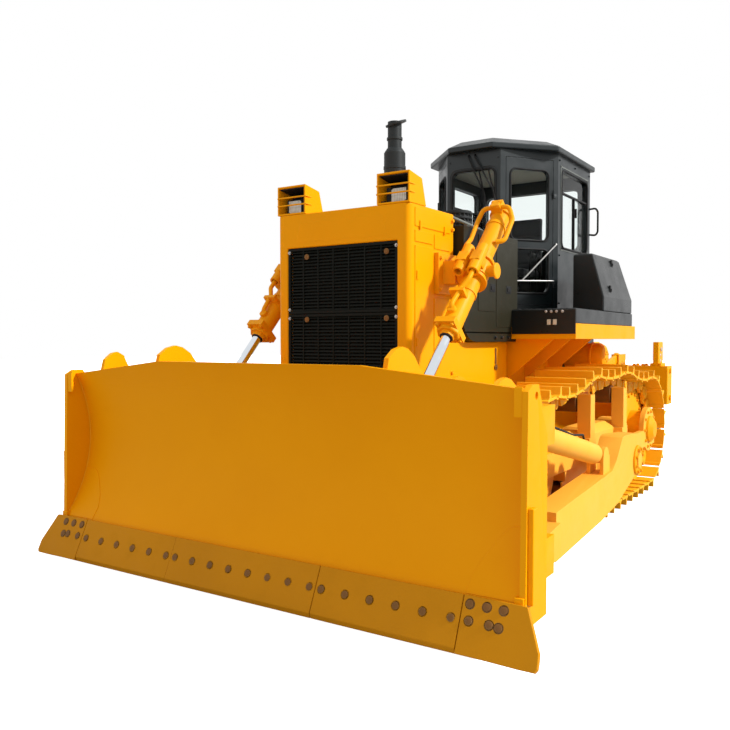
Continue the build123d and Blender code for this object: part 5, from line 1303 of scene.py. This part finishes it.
def addCabDetails():
    addPipes("windowSeals", windowLoops(0.006, 0.001), 0.012, 0.07, "rubberBlack", 10, closed=True)
    addPipes("windowBeads", windowLoops(0.03, 0), 0.005, 0.085, "cabBlack", 8, closed=True)
    addDoorDetails("left", 1)
    addDoorDetails("right", -1)
    # ribs and an aerial base on the roof, and a pleated lining under it
    shape("roofRibs", "cabBlack", 0.003,
          (addBoxes, *[(0.52, y - 0.022, 3.772, 1.5, y + 0.022, 3.7795) for y in fittings["ribs"]]),
          hands=False)
    shape("aerialBase", "rubberBlack", 0.003,
          (addTurned, fittings["aerial"], upward, fittings["aerialProfile"], 20), hands=False)
    form = bmesh.new()
    first, pitch, count, wide, narrowing = fittings["lining"]
    high, low = fittings["liningZ"]
    for i in range(count):
        x = first + i * pitch
        half = wide if x < cab["corner"] else wide - (x - cab["corner"]) * narrowing
        addSlab(form, [(x, high), (x + 0.012, low), (x + 0.044, low), (x + pitch, high)], -half, half)
    makePiece(form, "roofLining", "liningGrey", 0.0)
    shape("windowBars", "rubberBlack", 0.003, (addBoxes, *fittings["bars"]))
    shape("slidingPanes", "cabGlass", 0.001, (addBoxes, fittings["panes"]))
    shape("windowFrames", "hoseGrey", 0.001,
          (addBoxes, *[(x0, 0.699, z0, x1, 0.704, z1) for x0, x1, z0, z1 in fittings["frames"]]))
    # grab handles at the rear corners, wipers over the front window
    addPipes("grabHandles", [fittings["handle"]], 0.011, 0.035, "rubberBlack", 12, hands=True)
    addPipes("wiperArms", fittings["wipers"], 0.008, 0.02, "rubberBlack", 8)
    form = bmesh.new()
    for y in fittings["wiperY"]:
        addPrism(form, *[[(1.966, y + a, 3.44 + b), (1.98, y + a, 3.44 + b), (1.98, y + a + 0.085, 3.09 + b),
                          (1.966, y + a + 0.085, 3.09 + b)] for a, b in ((0, 0), (0.014, 0.003))])
    makePiece(form, "wiperBlades", "rubberBlack", 0.003)
    shape("rearLampBodies", "rubberBlack", 0.006,
          *[(addTaper, 0.336, y - 0.07, y + 0.07, 3.54, 3.625, 0.27, 0.008, 0.006)
            for y in fittings["lamps"]], hands=False)
    shape("rearLampLenses", "lampLens", 0.002,
          *[(addTaper, 0.271, y - 0.054, y + 0.054, 3.552, 3.613, 0.264, 0.006, 0.006)
            for y in fittings["lamps"]], hands=False)
    ys, heights = fittings["frontBolts"]
    spots = [((1.9595, y, z), forward) for z in heights for y in ys]
    xs, heights = fittings["sideBolts"]
    spots += [((x, side * 0.6995, z), (0, side, 0)) for z in heights for x in xs for side in (1, -1)]
    addBolts("cabBolts", "hexSmall", "cabBlack", spots, hands=False)


# seat and controls

pads = {
    # low and high corners, the axis the channels are spaced along, where they lie, the side they are
    # sewn in and where it starts
    "seatCushion": ((0.715, -0.25, 2.41), (1.205, 0.25, 2.5), 1, (-0.13, 0.0, 0.13), 2, 2.47),
    "seatBack": ((0.614, -0.25, 2.44), (0.686, 0.25, 3.12), 2, (2.6, 2.76, 2.92), 0, 0.665 - originX),
}
padding = {
    "voxel": 0.009, "pressure": 4, "frames": 20, "cap": 0.01, "round": 0.022, "deep": 0.008,
    "wide": 0.012,
}
seatFrame = {
    # pedestal: x and z round it, half its width; the pan and the back's shell; armrests
    "pedestal": ((0.79, 2.032), (1.13, 2.032), (1.11, 2.18), (1.14, 2.392), (0.78, 2.392), (0.81, 2.18)),
    "half": 0.17, "pan": (0.72, -0.215, 2.388, 1.19, 0.215, 2.404),
    "shell": (0.596, -0.215, 2.43, 0.61, 0.215, 3.08), "restY": (-0.262, 0.212),
}


def puff(form, name):
    # a padded form swollen by cloth, held within a distance of where it began
    piece = addObject(name, meshOf(form, name))
    fine = piece.modifiers.new("fine", "REMESH")
    fine.mode = "VOXEL"
    fine.voxel_size = padding["voxel"]
    piece.data = evaluated(piece)
    start = [vert.co.copy() for vert in piece.data.vertices]
    cloth = piece.modifiers.new("swell", "CLOTH").settings
    cloth.use_pressure = True
    cloth.uniform_pressure_force = padding["pressure"]
    cloth.effector_weights.gravity = 0
    for step in range(1, padding["frames"] + 1):
        scene.frame_set(step)
    piece.data = evaluated(piece)
    for vert, first in zip(piece.data.vertices, start):
        move = vert.co - first
        if move.length > padding["cap"]:
            vert.co = first + move.normalized() * padding["cap"]
    scene.frame_set(1)
    finer = piece.modifiers.new("finer", "SUBSURF")
    finer.levels = 1
    finer.render_levels = 1
    piece.data = evaluated(piece)
    return piece


def addSeat():
    for name, (low, high, along, lines, face, limit) in pads.items():
        form = bmesh.new()
        addBox(form, low, high)
        bmesh.ops.bevel(form, geom=form.edges[:], offset=padding["round"], segments=3, profile=0.6,
                        affect="EDGES")
        piece = puff(form, name)
        for vert in piece.data.vertices:
            if vert.co[face] > limit:
                away = min(abs(vert.co[along] - line) for line in lines)
                vert.co[face] -= padding["deep"] * math.exp(-(away / padding["wide"]) ** 2)
        smooth(piece.data, 60)
        piece.data.materials.append(materials["seatVinyl"])
        settle(piece, "chassis", ("operator_seat",))
    rests = []
    for y in seatFrame["restY"]:
        rests += [(0.68, y, 2.64, 1.02, y + 0.05, 2.684), (0.69, y + 0.01, 2.395, 0.73, y + 0.04, 2.645)]
    shape("seatFrame", "rubberBlack", 0.006,
          (addSlab, seatFrame["pedestal"], -seatFrame["half"], seatFrame["half"]),
          (addBoxes, seatFrame["pan"], *rests, seatFrame["shell"]), stands=("operator_seat",), hands=False)


console = {
    # tower: x and z round it, half its width; y of the gauges and levers
    "tower": ((1.525, 2.032), (1.735, 2.032), (1.735, 2.56), (1.65, 2.615), (1.56, 2.52), (1.525, 2.4)),
    "half": 0.245, "gauges": (-0.15, -0.05, 0.05, 0.15), "levers": (-0.31, 0.31, 0.38),
    "gauge": ((0, 0.036), (0.008, 0.036), (0.01, 0.032), (0.006, 0.028)),
    "knob": ((0, 0.014), (0.02, 0.024), (0.05, 0.026), (0.07, 0.016), (0.074, 0.004)),
}


def addConsole():
    shape("dashTower", "rubberBlack", 0.016,
          (addSlab, console["tower"], -console["half"], console["half"]), stands=("dash_console",),
          hands=False)
    shape("dashGauges", "paleSteel", 0.001,
          *[(addTurned, (1.603, y, 2.566), (-0.7, 0, 0.72), console["gauge"], 24)
            for y in console["gauges"]], hands=False)
    shape("leverKnobs", "rubberBlack", 0.0,
          *[(addTurned, (1.15, y, 2.69), (-0.05, 0, 0.2), console["knob"], 16)
            for y in console["levers"]], hands=False)
    runs = [[(1.18, y, 2.035), (1.2, y, 2.5), (1.15, y, 2.7)] for y in console["levers"]]
    addPipes("leverRods", runs, 0.009, 0.06, "rubberBlack", 10)


# fuel tank and ripper

tank = {
    "cap": (0.05, 0.48, 2.596), "straps": (-0.52, 0.52), "rails": (0.7, -0.7),
    "capProfile": ((0, 0.08), (0.018, 0.08), (0.022, 0.07), (0.058, 0.066), (0.062, 0.05)),
    "grip": ((-0.428, -0.3, 1.98), (-0.47, -0.3, 1.98), (-0.47, 0.3, 1.98), (-0.428, 0.3, 1.98)),
    # bolts: places on the rear, x and z on the sides
    "rearBolts": ((-0.4195,), (-0.78, -0.26, 0.26, 0.78), (1.9, 2.2)),
    "sideBolts": ((-0.38, 1.9), (-0.38, 2.18), (0.29, 1.9), (0.29, 2.18), (0.29, 2.46)),
}


def addTankDetails():
    shape("tankFittings", "tankBlack", 0.004,
          (addTurned, tank["cap"], upward, tank["capProfile"], 32),
          (addBoxes, *[(-0.424, y - 0.035, 1.88, -0.414, y + 0.035, 2.222) for y in tank["straps"]]),
          hands=False)
    rails = [[(0.28, y, 2.57), (0.28, y, 2.66), (-0.1, y, 2.66), (-0.1, y, 2.57)] for y in tank["rails"]]
    addPipes("tankRails", [tank["grip"], *rails], 0.014, 0.04, "rubberBlack", 12)
    spots = facing((-1, 0, 0), *tank["rearBolts"])
    spots += [((x, side * 0.8195, z), (0, side, 0)) for x, z in tank["sideBolts"] for side in (1, -1)]
    addBolts("tankBolts", "hex", "tankBlack", spots, hands=False)


ripper = {
    "link": (-0.76, 0.72), "linkLength": 1.15, "rest": 11, "pivot": (-0.76, 1.23), "cylinders": (-0.19, 0.19),
    "shanks": (-0.9, 0.0, 0.9), "beam": (0.14, 0.127, 0.535), "shankBehind": 0.28,
    "tooth": ((0.283, 0.56), (0.331, 0.436), (0.46, 0.2445), (0.316, 0.2605), (0.14, 0.382), (0.165, 0.43)),
    # pins of the shanks: behind their front, half length, height, radius
    "pins": ((0.13, 0.052, 1.58, 0.03), (0.13, 0.041, 1.42, 0.026), (0.13, 0.041, 1.5, 0.026)),
    "beamBolts": (-0.72, -0.6, -0.3, -0.18, 0.18, 0.3, 0.6, 0.72), "bracketBolts": (-0.66, -0.3, 0.3, 0.66),
    # rings on a cylinder: along it, radius, width
    "rings": ((0.8, 0.092, 0.046), (0.13, 0.09, 0.03), (0.46, 0.086, 0.022)), "ports": (0.2, 0.76),
}


def addPin(form, x, y, z, half, radius, sides):
    addTurned(form, (x, y - half, z), leftward, ((0, radius), (half * 2, radius)), sides)


def addRipperDetails():
    turn = math.radians(ripper["rest"])
    lowX = ripper["link"][0] - ripper["linkLength"] * math.cos(turn)
    lowZ = ripper["link"][1] + ripper["linkLength"] * math.sin(turn)
    ahead, under, tall = ripper["beam"]
    front, base = lowX - ahead, lowZ - under
    top = base + tall
    shankX = front - ripper["shankBehind"]
    tooth = [(shankX + x, z) for x, z in ripper["tooth"]]
    form = bmesh.new()
    for y in ripper["shanks"]:
        addSlab(form, tooth, y - 0.048, y + 0.048)
        addPin(form, shankX + 0.225, y, 0.45, 0.053, 0.02, 18)
    makePiece(form, "ripperTeeth", "boltSteel", 0.01, "ripper_beam")
    shape("shankPins", "paleSteel", 0.003,
          *[(addPin, shankX + x, y, z, half, radius, 24) for y in ripper["shanks"]
            for x, half, z, radius in ripper["pins"]], body="ripper_beam", hands=False)
    rows = [(front - 0.28, y, base + 0.03, front - 0.02, y + 0.012, top - 0.03) for y in (-1.064, 1.052)]
    rows += [(front - 0.285, y + y0, top - 0.004, front - 0.012, y + y1, top + 0.04) for y in ripper["shanks"]
             for y0, y1 in ((-0.075, -0.04), (0.04, 0.075))]
    shape("beamPads", "castYellow", 0.005, (addBoxes, *rows), body="ripper_beam", hands=False)
    spots = [((x, y, top - 0.001), upward) for y in ripper["beamBolts"] for x in (front - 0.25, front - 0.05)]
    addBolts("beamBolts", "hexLarge", "castYellow", spots, "ripper_beam", hands=False)
    spots = facing((-1, 0, 0), (-0.6305,), ripper["bracketBolts"], (0.6, 1.36))
    addBolts("bracketBolts", "hexLarge", "castYellow", spots, hands=False)
    # gland rings and ports on the ripper's cylinders
    start = Vector((ripper["pivot"][0], 0, ripper["pivot"][1]))
    aim = (Vector((lowX, 0, lowZ)) - start).normalized()
    up = Vector((aim.z, 0, -aim.x))
    form = bmesh.new()
    runs = []
    for y in ripper["cylinders"]:
        for along, radius, wide in ripper["rings"]:
            spot = start + aim * along
            addRing(form, (spot.x, y, spot.z), tuple(aim), 0.079, radius, wide, 32)
        for along in ripper["ports"]:
            spot = start + aim * along + up * 0.07
            addTurned(form, (spot.x, y, spot.z), tuple(up), ((0, 0.026), (0.034, 0.026), (0.038, 0.02)), 16)
        near, far = [start + aim * along + up * 0.115 for along in ripper["ports"]]
        run = (far - up * 0.02, far + up * 0.012, near + up * 0.012, near - up * 0.02)
        runs.append([(spot.x, y, spot.z) for spot in run])
    makePiece(form, "ripperCollars", "castYellow", 0.002, "ripper_barrels")
    addPipes("ripperPipes", runs, 0.012, 0.03, "castYellow", 12, "ripper_barrels")


addCamera()
addStudio()
addFloor()
makeMaterials()
print("studio and materials ready")
for node in dressed:
    dressNode(node)
print("nodes dressed:", len(dressed))
addTrackHardware(addTracks())
print("tracks ready")
for addDetails in (addEdges, addBladePlates, addArmDetails):
    addDetails()
print("blade ready")
for addDetails in (addGrille, addGuardDetails, addLamps, addHoodDetails, addSideTankDetails):
    addDetails()
print("guard and hood ready")
addLiftDetails()
print("lift cylinders ready")
for addDetails in (addPlatformDetails, addFenderBoxDetails, addCabDetails, addConsole, addSeat):
    addDetails()
print("platform, cab and seat ready")
addTankDetails()
addRipperDetails()
print("tank and ripper ready")
